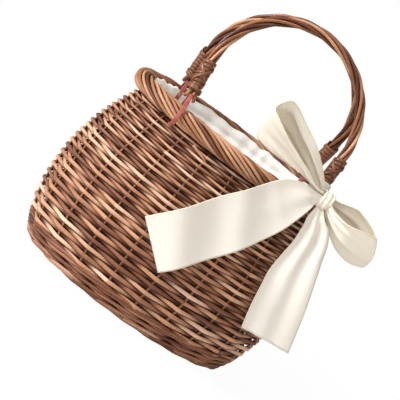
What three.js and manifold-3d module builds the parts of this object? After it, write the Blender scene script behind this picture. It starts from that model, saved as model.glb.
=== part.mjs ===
// Oval willow flower basket with a cotton lining, two folding handles and a satin ribbon bow.
// Millimetres, +Z up. The origin is the middle of the underside, on the surface it stands on,
// with the basket's length along X and its front towards -Y.
import * as THREE from 'three';
import { mergeVertices } from 'three/addons/utils/BufferGeometryUtils.js';
import Module from 'manifold-3d';

const wasm = await Module();
wasm.setup();

// Body: half-lengths along X at three heights; the half-depth is always endInset less
const bellyHalfLength = 125;
const footHalfLength = 106;
const shoulderInset = 1;
const endInset = 42;
const bellyHeight = 75;
const footRoundness = 2.6;
const shoulderRoundness = 2;
const waleHeight = 36;
const wallThickness = 8;

// Relief of the weave: rods lie in front of one stake and behind the next, thinner towards the rim
const walingTop = 17.6;
const walingPitch = 3.7;
const walingGroove = 1.2;
const rodPitchFoot = 4.3;
const rodPitchTop = 2.35;
const rodPitchFall = 1.2;
const weaveHollow = 1.5;
const spanInset = 2.4;

// Rolled rim border
const rimHalfLength = 104;
const rimHeight = 170;
const rimRadius = 8.5;

// Base and stakes
const baseThickness = 7;
const baseStickDiameter = 4;
const baseStickCount = 3;
const baseStickSpacing = 20;
const stakeCount = 20;
const stakeDiameter = 3.2;
const stakeFoot = 3;

// Lining
const liningThickness = 1;
const liningGathers = 10;
const liningGatherDepth = 1.6;
const liningGatherReach = 40;

// Handles: a bundle of rods twisted together, standing on two legs
const legHalfSpan = 67;
const legSplay = 3;
const archRise = 72;
const legFoot = 18.5;
const legTop = 58;
const rodDiameter = 3.2;
const rodCount = 5;
const rodGap = 0.32;
const bundleTurns = 2.75;

// Cane binding round each leg
const stubLength = 6;
const caneWidth = 3;
const caneThickness = 1.2;
const caneGap = 0.6;
const bindingTurns = 7;

// Leather tie that hinges each leg on the rim
const tieWidth = 4.5;
const tieThickness = 1.2;
const tieTabWidth = 1.8;
const tieTabThickness = 1;
const tieTabReach = 20;

// Satin ribbon
const ribbonWidth = 50;
const ribbonThickness = 0.8;
const ribbonGathered = 14;
const bandHeight = 12;
const bandFoot = 15;
const knotLength = 16;
const knotDiameter = 16;
const knotAside = 7.1;
const knotForward = 16.3;
const knotAlong = 12.4;
const loopPleat = 1.1;

// Places along each loop, out along its front and back along its rear: the middle of the ribbon
// from the knot, the direction of its upper edge, and its half-width
const leftLoopPlaces = [
  { middle: [-8.7, -4, 1], up: [0, -0.3, 0.95], half: 7 },
  { middle: [-21, -10, 5], up: [0.05, -0.6, 0.8], half: 9.5 },
  { middle: [-39, -14, 11], up: [-0.02, -0.72, 0.66], half: 14 },
  { middle: [-59, -16, 16.5], up: [-0.1, -0.74, 0.64], half: 20 },
  { middle: [-76, -13, 22.5], up: [-0.14, -0.7, 0.68], half: 24 },
  { middle: [-80.5, -6, 26.5], up: [-0.14, -0.68, 0.72], half: 25 },
  { middle: [-72, 2, 32], up: [-0.1, -0.66, 0.74], half: 25 },
  { middle: [-56, 6, 26.5], up: [-0.02, -0.62, 0.8], half: 22 },
  { middle: [-38, 6.5, 19], up: [0.1, -0.55, 0.85], half: 16 },
  { middle: [-21, 6, 11], up: [0.1, -0.45, 0.9], half: 10.5 },
  { middle: [-8.7, 3.5, 2], up: [0, -0.3, 0.95], half: 7 },
];
const rightLoopPlaces = [
  { middle: [8.7, -4, -1], up: [0, -0.3, 0.95], half: 7 },
  { middle: [16, -8, -8], up: [-0.15, -0.5, 0.85], half: 11 },
  { middle: [29, -11, -12], up: [-0.25, -0.62, 0.74], half: 18 },
  { middle: [43, -12, -13], up: [-0.27, -0.64, 0.72], half: 22 },
  { middle: [56, -8, -14], up: [-0.27, -0.64, 0.72], half: 24 },
  { middle: [63, -1, -12], up: [-0.27, -0.64, 0.72], half: 25 },
  { middle: [57, 6, -7], up: [-0.27, -0.64, 0.72], half: 25 },
  { middle: [44, 8, -2], up: [-0.24, -0.62, 0.74], half: 24 },
  { middle: [30, 7.5, 1], up: [-0.2, -0.6, 0.77], half: 19 },
  { middle: [17, 6, 1.5], up: [-0.1, -0.45, 0.85], half: 12 },
  { middle: [8.7, 3.5, 0], up: [0, -0.3, 0.95], half: 7 },
];
const leftTailEnd = new THREE.Vector3(-97.7, 0, -111.4);
const rightTailEnd = new THREE.Vector3(33.4, 0, -126.3);
const leftTailAcross = new THREE.Vector3(0.76, 0, -0.65);
const rightTailAcross = new THREE.Vector3(0.99, 0, 0.12);
const leftTailTurn = 0.5;
const rightTailTurn = 0.17;
const tailStandOff = 3.8;
const bridgeFoot = 110;
const tailPleat = 6;
const tailFullAt = 0.45;
const tailLanding = 4;
const bandTipRadius = 2;

// Clearances
const touchGap = 0.3;
const tieGap = 0.5;

const willow = new THREE.MeshStandardMaterial({ color: 0xc4946c, roughness: 0.6, metalness: 0 });
const paleWillow = new THREE.MeshStandardMaterial({ color: 0xd2a67f, roughness: 0.6, metalness: 0 });
const brownWillow = new THREE.MeshStandardMaterial({ color: 0x9a6448, roughness: 0.55, metalness: 0 });
const cotton = new THREE.MeshStandardMaterial({ color: 0xf4f1ec, roughness: 0.9, metalness: 0 });
const satin = new THREE.MeshStandardMaterial({ color: 0xf6efdc, roughness: 0.35, metalness: 0 });
const leather = new THREE.MeshStandardMaterial({ color: 0xa85a50, roughness: 0.6, metalness: 0 });

// Sizes that follow from the ones above
const weaveTop = rimHeight - rimRadius - touchGap;
const shoulderHalfLength = rimHalfLength - shoulderInset;
const liningTop = rimHeight;
const sideFoot = waleHeight + touchGap;
const floorHeight = baseThickness + touchGap;
const wallMiddle = wallThickness / 2;
const rimHalfDepth = rimHalfLength - endInset;
const pivotDepth = rimHalfDepth * Math.sqrt(1 - (legHalfSpan / rimHalfLength) ** 2);
const rodRing = (rodDiameter + rodGap) / 2 / Math.sin(Math.PI / rodCount);
const bundleRadius = rodRing + rodDiameter / 2;
const archHalfSpan = legHalfSpan + legSplay;
const archTop = legTop + archRise;
const lean = Math.asin((pivotDepth - bundleRadius - touchGap / 2) / archTop);
const caneInner = bundleRadius + touchGap;
const caneOuter = caneInner + caneThickness;
const bindingPitch = caneWidth + caneGap;
const bindingFoot = legFoot + stubLength + caneWidth / 2;
const bandMiddle = bandFoot + bandHeight / 2;

// Outer half-length of the woven wall at a height
function wallHalfLength(z) {
  if (z < bellyHeight) {
    const down = (bellyHeight - z) / bellyHeight;
    return bellyHalfLength - (bellyHalfLength - footHalfLength) * down ** footRoundness;
  }
  const up = (z - bellyHeight) / (weaveTop - bellyHeight);
  return bellyHalfLength - (bellyHalfLength - shoulderHalfLength) * up ** shoulderRoundness;
}

// Evenly spaced values from first to last
function spaced(first, last, steps) {
  return Array.from({ length: steps + 1 }, (_, i) => first + ((last - first) * i) / steps);
}

// Heights at which the wall and what lies against it change direction
const waleRows = [0, floorHeight, (floorHeight + waleHeight) / 2, waleHeight];
const sideRows = spaced(sideFoot, weaveTop, 5);

// Directions round the oval, in equal steps along it at the belly: the first one is at the front,
// and every second one is a stake's
function ovalDirections() {
  const samples = 1440;
  const count = 2 * stakeCount;
  const halfLength = bellyHalfLength - wallMiddle;
  const points = spaced(-Math.PI / 2, 1.5 * Math.PI, samples).map((angle) => (
    [angle, halfLength * Math.cos(angle), (halfLength - endInset) * Math.sin(angle)]
  ));
  const lengths = [0];
  for (let i = 1; i <= samples; i += 1) {
    const step = Math.hypot(points[i][1] - points[i - 1][1], points[i][2] - points[i - 1][2]);
    lengths.push(lengths[i - 1] + step);
  }
  return Array.from({ length: count }, (_, k) => {
    const place = lengths.findIndex((length) => length >= (lengths[samples] * k) / count);
    return points[place][0];
  });
}

const directions = ovalDirections();

// The point at a half-length, a height and a direction. A point off the axis has a half-depth of
// endInset less than its half-length.
function ovalPoint(halfLength, height, angle) {
  const halfDepth = Math.max(0, halfLength - endInset);
  return new THREE.Vector3(halfLength * Math.cos(angle), halfDepth * Math.sin(angle), height);
}

// A profile of [half-length, height] pairs turned round the oval
function ovalLathe(profile) {
  const points = profile.map(([halfLength, height]) => new THREE.Vector2(halfLength, height));
  const turned = new THREE.LatheGeometry(points, directions.length);
  const position = turned.getAttribute('position');
  for (let i = 0; i < position.count; i += 1) {
    const direction = directions[Math.floor(i / profile.length) % directions.length];
    const [halfLength, height] = profile[i % profile.length];
    position.setXYZ(i, ...ovalPoint(halfLength, height, direction));
  }
  return turned;
}

// A closed band from one closed loop of points for each direction round the oval
function ovalBand(loops) {
  const size = loops[0].length;
  const index = [];
  for (let i = 0; i < loops.length; i += 1) {
    const side = ((i + 1) % loops.length) * size;
    for (let j = 0; j < size; j += 1) {
      const next = (j + 1) % size;
      index.push(i * size + j, side + j, side + next, i * size + j, side + next, i * size + next);
    }
  }
  const geometry = new THREE.BufferGeometry().setFromPoints(loops.flat());
  geometry.setIndex(index);
  return geometry;
}

// A closed solid from rings of points. Each ring runs along one face and back along the other.
function sweptSolid(rings) {
  const size = rings[0].length;
  const last = rings.length - 1;
  const index = [];
  for (let i = 0; i < last; i += 1) {
    for (let j = 0; j < size; j += 1) {
      const next = (j + 1) % size;
      const a = i * size + j;
      const b = i * size + next;
      index.push(a, b, b + size, a, b + size, a + size);
    }
  }
  for (let j = 0; j < size / 2 - 1; j += 1) {
    const far = size - 1 - j;
    index.push(j, far, far - 1, j, far - 1, j + 1);
    const end = last * size;
    index.push(end + j, end + far - 1, end + far, end + j, end + j + 1, end + far - 1);
  }
  const geometry = new THREE.BufferGeometry().setFromPoints(rings.flat());
  geometry.setIndex(index);
  return geometry;
}

// Regular polygon in the XY plane round a centre, as a closed ring of points
function polygonRing(centre, radius, sides) {
  return Array.from({ length: sides }, (_, i) => {
    const angle = (2 * Math.PI * (i + 0.5)) / sides;
    return new THREE.Vector3(
      centre.x + radius * Math.cos(angle),
      centre.y + radius * Math.sin(angle),
      centre.z,
    );
  });
}

// Booleans
function toSolid(geometry) {
  const bare = geometry.clone();
  bare.deleteAttribute('normal');
  bare.deleteAttribute('uv');
  const merged = mergeVertices(bare);
  const source = merged.getIndex().array;
  const triangles = [];
  for (let i = 0; i < source.length; i += 3) {
    const [a, b, c] = [source[i], source[i + 1], source[i + 2]];
    if (a !== b && b !== c && c !== a) {
      triangles.push(a, b, c);
    }
  }
  const vertProperties = new Float32Array(merged.getAttribute('position').array);
  const triVerts = new Uint32Array(triangles);
  return new wasm.Manifold(new wasm.Mesh({ numProp: 3, vertProperties, triVerts }));
}

function fromSolid(solid) {
  const { vertProperties, triVerts } = solid.getMesh();
  const geometry = new THREE.BufferGeometry();
  geometry.setAttribute('position', new THREE.BufferAttribute(vertProperties, 3));
  geometry.setIndex(new THREE.BufferAttribute(triVerts, 1));
  return geometry;
}

function cutAll(geometry, cutters) {
  const solid = cutters.reduce((kept, cutter) => kept.subtract(toSolid(cutter)), toSolid(geometry));
  return fromSolid(solid);
}

// Named mesh in a group
function addMesh(group, name, geometry, material) {
  const mesh = new THREE.Mesh(geometry, material);
  mesh.name = name;
  group.add(mesh);
  return mesh;
}

function stakeGeometry(angle, heights, diameter) {
  const sides = 6;
  const middle = (z) => ovalPoint(wallHalfLength(z) - wallMiddle, z, angle);
  return sweptSolid(heights.map((z) => polygonRing(middle(z), diameter / 2, sides)));
}

// Rows of rods from the foot up. At a stake, odd and even rods lie in front of it by turns.
function weaveRows() {
  const rows = [];
  for (let z = walingPitch / 2; z < walingTop; z += walingPitch / 2) {
    const inset = rows.length % 2 ? walingGroove : 0;
    rows.push({ z, insets: [inset, inset, inset, inset] });
  }
  let count = 0;
  let z = walingTop + rodPitchFoot / 2;
  while (z < weaveTop - rodPitchTop / 2) {
    const [first, second] = count % 2 ? [weaveHollow, 0] : [0, weaveHollow];
    rows.push({ z, insets: [first, spanInset, second, spanInset] });
    const down = (weaveTop - z) / (weaveTop - walingTop);
    z += THREE.MathUtils.lerp(rodPitchTop, rodPitchFoot, down ** rodPitchFall);
    count += 1;
  }
  return rows;
}

// Part of the woven wall between two of its heights, with the rods' relief on its outside
function wovenWall(heights) {
  const [bottom, top] = [heights[0], heights.at(-1)];
  const between = weaveRows().filter(({ z }) => z > bottom + touchGap && z < top - touchGap);
  const edge = [walingGroove, walingGroove, walingGroove, walingGroove];
  const rows = [{ z: bottom, insets: edge }, ...between, { z: top, insets: edge }];
  return ovalBand(directions.map((angle, k) => [
    ...rows.map(({ z, insets }) => ovalPoint(wallHalfLength(z) - insets[k % insets.length], z, angle)),
    ...heights.map((z) => ovalPoint(wallHalfLength(z) - wallThickness, z, angle)).reverse(),
  ]));
}

// Round room for a tie to turn in, along the hinge axis
function tieRoom(side, depth) {
  const radius = tieRingInner() + tieThickness + tieGap;
  const room = new THREE.CylinderGeometry(radius, radius, tieWidth + 2 * tieGap, 24).rotateZ(Math.PI / 2);
  return room.translate(side * legHalfSpan, depth, rimHeight);
}

function tieRooms() {
  return [-1, 1].flatMap((side) => [tieRoom(side, -pivotDepth), tieRoom(side, pivotDepth)]);
}

// The rim crosses the tie's plane at a slant, so the ring is wider than the rim
function tieRingInner() {
  const crossing = legHalfSpan / rimHalfLength;
  const slope = Math.atan((rimHalfDepth / rimHalfLength) * (crossing / Math.sqrt(1 - crossing ** 2)));
  return rimRadius / Math.cos(slope) + (tieWidth / 2) * Math.tan(slope) + touchGap;
}

function buildBody(group) {
  const angles = directions.filter((_, k) => k % 2 === 0);
  const stakeTop = weaveTop - touchGap;
  const heights = spaced(stakeFoot, stakeTop, 5);
  const channelHeights = [stakeFoot - touchGap, ...heights.slice(1, -1), weaveTop + 1];
  const channelDiameter = stakeDiameter + 2 * touchGap;
  const channels = angles.map((angle) => stakeGeometry(angle, channelHeights, channelDiameter));

  addMesh(group, 'wale_band', cutAll(wovenWall(waleRows), channels), willow);
  const side = cutAll(wovenWall(sideRows), [...channels, ...tieRooms()]);
  addMesh(group, 'side_weave', side, willow);
  angles.forEach((angle, k) => {
    const name = `stake_${String(k + 1).padStart(2, '0')}`;
    addMesh(group, name, cutAll(stakeGeometry(angle, heights, stakeDiameter), tieRooms()), willow);
  });
}

function buildBase(group) {
  const footEdge = wallHalfLength(0) - wallThickness - touchGap;
  const topEdge = wallHalfLength(baseThickness) - wallThickness - touchGap;
  const plate = ovalLathe([[0, 0], [footEdge, 0], [topEdge, baseThickness], [0, baseThickness]]);
  const channels = [];
  for (let k = 0; k < baseStickCount; k += 1) {
    const y = (k - (baseStickCount - 1) / 2) * baseStickSpacing;
    const room = baseStickDiameter / 2 + touchGap;
    const channel = new THREE.CylinderGeometry(room, room, 2 * bellyHalfLength, 8).rotateZ(Math.PI / 2);
    channels.push(channel.translate(0, y, baseThickness / 2));
    const length = 2 * footEdge * Math.sqrt(1 - (y / (footEdge - endInset)) ** 2);
    const radius = baseStickDiameter / 2;
    const stick = new THREE.CylinderGeometry(radius, radius, length, 8).rotateZ(Math.PI / 2);
    addMesh(group, `base_stick_${k + 1}`, stick.translate(0, y, baseThickness / 2), paleWillow);
  }
  addMesh(group, 'base_weave', cutAll(plate, channels), willow);
}

function buildRim(group) {
  const sides = 8;
  const section = spaced(0, 2 * Math.PI, sides).map((angle) => [
    rimHalfLength + rimRadius * Math.cos(angle),
    rimHeight + rimRadius * Math.sin(angle),
  ]);
  addMesh(group, 'rim_border', ovalLathe(section), willow);
}

// Cotton cup that follows the wall inside and gathers towards its top edge
function buildLining(group) {
  const skin = wallThickness + touchGap;
  const rimInside = rimHalfLength - rimRadius - touchGap;
  const heights = [...waleRows.slice(1, -1), ...sideRows.filter((_, i) => i !== 1 && i !== 3)];
  const outside = [...heights.map((z) => [wallHalfLength(z) - skin, z]), [rimInside, liningTop]];
  const inside = outside.map(([halfLength, z]) => [halfLength - liningThickness, z]).reverse();
  const insideFloor = floorHeight + liningThickness;
  inside.at(-1)[1] = insideFloor;
  const cup = ovalLathe([[0, floorHeight], ...outside, ...inside, [0, insideFloor]]);
  const position = cup.getAttribute('position');
  for (let i = 0; i < position.count; i += 1) {
    const rise = Math.max(0, 1 - (liningTop - position.getZ(i)) / liningGatherReach);
    const angle = Math.atan2(position.getY(i) / rimHalfDepth, position.getX(i) / rimHalfLength);
    const inward = (liningGatherDepth * rise * (1 - Math.cos(liningGathers * angle))) / 2;
    const radius = Math.hypot(position.getX(i), position.getY(i));
    const kept = rise > 0 ? 1 - inward / radius : 1;
    position.setX(i, position.getX(i) * kept);
    position.setY(i, position.getY(i) * kept);
  }
  addMesh(group, 'lining', cutAll(cup, tieRooms()), cotton);
}

// Centreline of a handle in its own upright frame, from its left foot to its right foot
function legSpan(along) {
  const below = Math.max(0, (legTop - along) / (legTop - legFoot));
  return archHalfSpan - legSplay * below ** 2;
}

class HandleLine extends THREE.Curve {
  getPoint(t, target = new THREE.Vector3()) {
    const legLength = legTop - legFoot;
    const archLength = (Math.PI * (archHalfSpan + archRise)) / 2;
    const travel = t * (2 * legLength + archLength);
    if (travel < legLength) {
      return target.set(-legSpan(legFoot + travel), 0, legFoot + travel);
    }
    if (travel > legLength + archLength) {
      const along = legTop - (travel - legLength - archLength);
      return target.set(legSpan(along), 0, along);
    }
    const angle = Math.PI * (1 - (travel - legLength) / archLength);
    return target.set(archHalfSpan * Math.cos(angle), 0, legTop + archRise * Math.sin(angle));
  }
}

const handleLine = new HandleLine();

class TwistedRod extends THREE.Curve {
  constructor(place) {
    super();
    this.place = place;
  }

  getPoint(t, target = new THREE.Vector3()) {
    const centre = handleLine.getPointAt(t);
    const tangent = handleLine.getTangentAt(t);
    const angle = 2 * Math.PI * (this.place / rodCount + bundleTurns * t);
    const across = rodRing * Math.cos(angle);
    return target.set(
      centre.x + tangent.z * across,
      rodRing * Math.sin(angle),
      centre.z - tangent.x * across,
    );
  }
}

function rodGeometry(place) {
  const sides = 5;
  const corners = polygonRing(new THREE.Vector3(), rodDiameter / 2, sides);
  const section = new THREE.Shape(corners.map((corner) => new THREE.Vector2(corner.x, corner.y)));
  const options = { extrudePath: new TwistedRod(place), steps: 30, bevelEnabled: false };
  return new THREE.ExtrudeGeometry(section, options);
}

// Cane wound round a leg in one unbroken strip, with straight ends
function windingGeometry(side) {
  const stepsPerTurn = 10;
  const steps = stepsPerTurn * bindingTurns;
  const middle = caneInner + caneThickness / 2;
  const ringAt = (turn, run) => {
    const angle = 2 * Math.PI * turn;
    const along = bindingFoot + bindingPitch * turn;
    const outward = new THREE.Vector3(Math.cos(angle), Math.sin(angle), 0);
    const forward = new THREE.Vector3(-Math.sin(angle), Math.cos(angle), 0);
    const centre = new THREE.Vector3(side * legSpan(along), 0, along).addScaledVector(forward, run);
    return [[-1, -1], [-1, 1], [1, 1], [1, -1]].map(([out, up]) => centre.clone()
      .addScaledVector(outward, middle + (out * caneThickness) / 2)
      .add(new THREE.Vector3(0, 0, (up * caneWidth) / 2)));
  };
  const rings = spaced(0, bindingTurns, steps).map((turn) => ringAt(turn, 0));
  rings.unshift(ringAt(0, -caneThickness));
  rings.push(ringAt(bindingTurns, caneThickness));
  return { geometry: sweptSolid(rings), gap: leastGap(rings, stepsPerTurn) };
}

// Least distance between corner points of rings that lie more than half a turn apart
function leastGap(rings, stepsPerTurn) {
  let least = Infinity;
  for (let i = 0; i < rings.length; i += 1) {
    for (let j = i + stepsPerTurn / 2 + 1; j < rings.length; j += 1) {
      for (const a of rings[i]) {
        for (const b of rings[j]) {
          least = Math.min(least, a.distanceTo(b));
        }
      }
    }
  }
  return least;
}

// Outline round a large circle at the origin and a small one further up
function teardrop(largeRadius, smallRadius, distance) {
  const tilt = Math.asin((largeRadius - smallRadius) / distance);
  const outline = new THREE.Shape();
  outline.absarc(0, 0, largeRadius, Math.PI - tilt, tilt + 2 * Math.PI, false);
  outline.absarc(0, distance, smallRadius, tilt, Math.PI - tilt, false);
  return outline;
}

function ringGeometry(outer, inner, height, curveSegments) {
  outer.holes.push(new THREE.Path(inner.getPoints(curveSegments).reverse()));
  return new THREE.ExtrudeGeometry(outer, { depth: height, bevelEnabled: false, curveSegments });
}

// Leather ring round the rim with a narrow tab that runs up inside the bundle
function tieGeometry(side) {
  const inner = tieRingInner();
  const tip = legFoot - 2 * touchGap - tieThickness - tieTabThickness / 2;
  const outline = teardrop(inner + tieThickness, tieThickness + tieTabThickness / 2, tip);
  const ring = ringGeometry(outline, teardrop(inner, tieTabThickness / 2, tip), tieWidth, 7);
  ring.translate(0, 0, -tieWidth / 2).rotateX(Math.PI / 2).rotateZ(Math.PI / 2);
  const tabFoot = tip;
  const tabLength = legFoot + tieTabReach - tabFoot;
  const tab = new THREE.BoxGeometry(tieTabWidth, tieTabThickness, tabLength, 1, 1, 5);
  tab.translate(0, 0, tabFoot + tabLength / 2);
  const position = tab.getAttribute('position');
  for (let i = 0; i < position.count; i += 1) {
    const drift = legSpan(Math.max(legFoot, position.getZ(i))) - legHalfSpan;
    position.setX(i, position.getX(i) + side * drift);
  }
  return fromSolid(toSolid(ring).add(toSolid(tab))).translate(side * legHalfSpan, 0, 0);
}

function buildHandle(group, name) {
  for (let k = 0; k < rodCount; k += 1) {
    addMesh(group, `${name}_rod_${k + 1}`, rodGeometry(k), brownWillow);
  }
  for (const [side, label] of [[-1, 'left'], [1, 'right']]) {
    const winding = windingGeometry(side);
    addMesh(group, `${name}_binding_${label}`, winding.geometry, brownWillow);
    console.log(`${name}_binding_${label}: least gap between turns ${winding.gap.toFixed(2)} mm`);
    addMesh(group, `${name}_tie_${label}`, tieGeometry(side), leather);
  }
}

// A ribbon from its middle surface, given as a point for each place along (0 to 1) and across (-1 to 1)
function ribbonSolid(surface, alongSteps, acrossSteps) {
  const small = 0.001;
  const rings = spaced(0, 1, alongSteps).map((along) => {
    const front = [];
    const back = [];
    for (const across of spaced(-1, 1, acrossSteps)) {
      const point = surface(along, across);
      const ahead = surface(along + small, across).sub(surface(along - small, across));
      const aside = surface(along, across + small).sub(surface(along, across - small));
      const normal = aside.cross(ahead).normalize().multiplyScalar(ribbonThickness / 2);
      front.push(point.clone().add(normal));
      back.unshift(point.clone().sub(normal));
    }
    return [...front, ...back];
  });
  return sweptSolid(rings);
}

// Half-width of the ribbon: gathered at the knot, full a share of the way out
function gatheredHalfWidth(share, fullAt) {
  const full = THREE.MathUtils.smoothstep(share, 0, fullAt);
  return THREE.MathUtils.lerp(ribbonGathered / 2, ribbonWidth / 2, full);
}

// A bow loop leaves the knot, turns round at its far end and comes back behind itself. Its upper
// edge leans forward, so the loop shows its inside from the front.
function loopGeometry(places) {
  const line = new THREE.CatmullRomCurve3(places.map(({ middle }) => new THREE.Vector3(...middle)));
  const ups = new THREE.CatmullRomCurve3(places.map(({ up }) => new THREE.Vector3(...up)));
  const halves = new THREE.CatmullRomCurve3(places.map(({ half }) => new THREE.Vector3(half, 0, 0)));
  [line, ups, halves].forEach((curve) => {
    curve.curveType = 'catmullrom';
  });
  const surface = (along, across) => {
    const place = THREE.MathUtils.clamp(along, 0, 1);
    const point = line.getPoint(place);
    const rearward = along < 0.5 ? -1 : 1;
    point.y += rearward * loopPleat * Math.cos(2 * Math.PI * across) * (1 - 2 * place) ** 2;
    return point.addScaledVector(ups.getPoint(place).normalize(), across * halves.getPoint(place).x);
  };
  return ribbonSolid(surface, 20, 4);
}

// How far the basket reaches towards the front at a place across and a height. Cloth bridges the
// neck between the rim and the belly.
function frontDepth(x, z) {
  const up = THREE.MathUtils.clamp((z - bridgeFoot) / (rimHeight - bridgeFoot), 0, 1);
  const low = wallHalfLength(THREE.MathUtils.clamp(z, 0, bridgeFoot));
  const halfLength = THREE.MathUtils.lerp(low, rimHalfLength + rimRadius, up);
  if (z > rimHeight + rimRadius || Math.abs(x) > halfLength) {
    return 0;
  }
  return (halfLength - endInset) * Math.sqrt(1 - (x / halfLength) ** 2);
}

// A tail hangs from under the knot to its cut end and lies out over the rim and the belly
function tailGeometry(knotPlace, root, end, endAcross) {
  const rootAcross = new THREE.Vector3(1, 0, 0);
  const flatPoint = (along, across) => {
    const direction = rootAcross.clone().lerp(endAcross, Math.min(1, 2 * Math.max(0, along))).normalize();
    const point = root.clone().lerp(end, along);
    return point.addScaledVector(direction, across * gatheredHalfWidth(along, tailFullAt));
  };
  const surface = (along, across) => {
    const hanging = -(knotPlace.y + root.y);
    const pushed = Math.max(...spaced(-1, 1, 8).map((place) => {
      const under = flatPoint(along, place).add(knotPlace);
      return frontDepth(under.x, under.z) + tailStandOff;
    }));
    const ease = Math.min(1, 4 * Math.max(0, along));
    const depth = (hanging + pushed + Math.hypot(hanging - pushed, tailLanding)) / 2;
    const pleat = tailPleat * Math.cos(1.5 * Math.PI * across) * along * (1 - along) ** 2;
    const point = flatPoint(along, across);
    point.y = -knotPlace.y - THREE.MathUtils.lerp(hanging, depth, ease) - pleat;
    return point;
  };
  return ribbonSolid(surface, 12, 4);
}

function buildBow(handleGroup, bowGroup) {
  const half = knotLength / 2;
  const radius = knotDiameter / 2;
  const barrel = [[0, -half], [0.75 * radius, -half], [0.95 * radius, -0.6 * half], [radius, 0]];

  const [shoulderRadius, shoulderPlace] = barrel[2];
  const knotReach = Math.hypot(Math.sqrt(shoulderRadius ** 2 - (bandFoot - knotAlong) ** 2), shoulderPlace);
  const bandInner = caneOuter + 2 * touchGap;
  const tipDistance = Math.hypot(knotAside, knotForward) - knotReach - touchGap - bandTipRadius;
  const outline = teardrop(bandInner + ribbonThickness, bandTipRadius, tipDistance);
  const hollow = teardrop(bandInner, bandTipRadius - ribbonThickness, tipDistance);
  const band = ringGeometry(outline, hollow, bandHeight, 8);
  const legDrift = legSpan(bandFoot + bandHeight) - legSpan(bandFoot);
  band.translate(0, 0, -bandHeight / 2).rotateZ(Math.PI + Math.atan2(knotAside, knotForward));
  band.rotateY(Math.atan(legDrift / bandHeight));
  band.translate(legSpan(bandMiddle), 0, bandMiddle);
  addMesh(handleGroup, 'ribbon_band', band, satin);

  const profile = [...barrel, ...barrel.slice(0, -1).reverse().map(([r, x]) => [r, -x])];
  const points = profile.map(([r, x]) => new THREE.Vector2(r, x));
  const knot = new THREE.LatheGeometry(points, 12).rotateZ(-Math.PI / 2);
  addMesh(bowGroup, 'ribbon_knot', knot, satin);

  addMesh(bowGroup, 'ribbon_loop_left', loopGeometry(leftLoopPlaces), satin);
  addMesh(bowGroup, 'ribbon_loop_right', loopGeometry(rightLoopPlaces), satin);

  const rootRadius = radius + touchGap + ribbonThickness / 2;
  const rootAt = (x, turn) => {
    return new THREE.Vector3(x, -rootRadius * Math.sin(turn), -rootRadius * Math.cos(turn));
  };
  const leftRoot = rootAt(-knotLength / 8, leftTailTurn);
  const rightRoot = rootAt(knotLength / 16, rightTailTurn);
  const leftTail = tailGeometry(bowGroup.position, leftRoot, leftTailEnd, leftTailAcross);
  const rightTail = tailGeometry(bowGroup.position, rightRoot, rightTailEnd, rightTailAcross);
  addMesh(bowGroup, 'ribbon_tail_left', leftTail, satin);
  addMesh(bowGroup, 'ribbon_tail_right', rightTail, satin);
}

const basket = new THREE.Group();
buildBase(basket);
buildBody(basket);
buildRim(basket);
buildLining(basket);

// The handles turn on the rim and lean together until their tops touch
const frontHandle = new THREE.Group();
frontHandle.position.set(0, -pivotDepth, rimHeight);
frontHandle.rotation.x = -lean;
buildHandle(frontHandle, 'front');
basket.add(frontHandle);

const backSide = new THREE.Group();
backSide.rotation.z = Math.PI;
const backHandle = new THREE.Group();
backHandle.position.copy(frontHandle.position);
backHandle.rotation.copy(frontHandle.rotation);
buildHandle(backHandle, 'back');
backSide.add(backHandle);
basket.add(backSide);

// The bow hangs upright at its knot, in front of the front handle's right leg
const bow = new THREE.Group();
const knotPlace = new THREE.Vector3(legSpan(bandMiddle) + knotAside, -knotForward, knotAlong);
bow.position.copy(knotPlace.applyEuler(frontHandle.rotation).add(frontHandle.position));
basket.add(bow);
buildBow(frontHandle, bow);

export default basket;
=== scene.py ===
import math
import random

import bpy
import numpy as np
from mathutils import Matrix, Vector


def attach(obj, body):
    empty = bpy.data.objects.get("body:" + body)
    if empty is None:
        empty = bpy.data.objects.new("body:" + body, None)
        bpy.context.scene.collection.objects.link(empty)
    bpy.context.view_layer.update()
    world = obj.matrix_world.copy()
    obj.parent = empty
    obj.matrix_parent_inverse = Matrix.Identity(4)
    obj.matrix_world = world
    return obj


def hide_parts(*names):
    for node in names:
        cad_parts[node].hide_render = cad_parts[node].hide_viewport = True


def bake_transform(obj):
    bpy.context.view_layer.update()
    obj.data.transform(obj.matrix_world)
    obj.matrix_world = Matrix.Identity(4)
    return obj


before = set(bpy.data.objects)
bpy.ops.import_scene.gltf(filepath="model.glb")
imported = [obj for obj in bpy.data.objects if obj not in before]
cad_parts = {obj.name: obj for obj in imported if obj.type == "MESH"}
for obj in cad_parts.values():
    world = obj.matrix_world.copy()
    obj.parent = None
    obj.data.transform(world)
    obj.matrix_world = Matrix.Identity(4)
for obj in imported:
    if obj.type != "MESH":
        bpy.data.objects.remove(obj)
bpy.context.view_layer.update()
chance = random.Random(7)
mm = 0.001


# An sRGB hex value as linear light, by the standard's own curve
def hexColour(text):
    channels = [int(text[i:i + 2], 16) / 255 for i in (1, 3, 5)]
    return [c / 12.92 if c <= 0.04045 else ((c + 0.055) / 1.055) ** 2.4 for c in channels] + [1.0]


# How far a value has come from low to high, as a share from 0 to 1
def between(low, high, value):
    return min(1.0, max(0.0, (value - low) / (high - low)))


def smooth(low, high, value):
    t = between(low, high, value)
    return t * t * (3 - 2 * t)


def unit(vectors):
    vectors = np.asarray(vectors, float)
    shortest = 1e-9
    return vectors / np.maximum(np.linalg.norm(vectors, axis=-1, keepdims=True), shortest)


# How far along a line each of its points lies
def travelled(points):
    return np.concatenate([[0], np.cumsum(np.linalg.norm(np.diff(points, axis=0), axis=1))])


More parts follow.
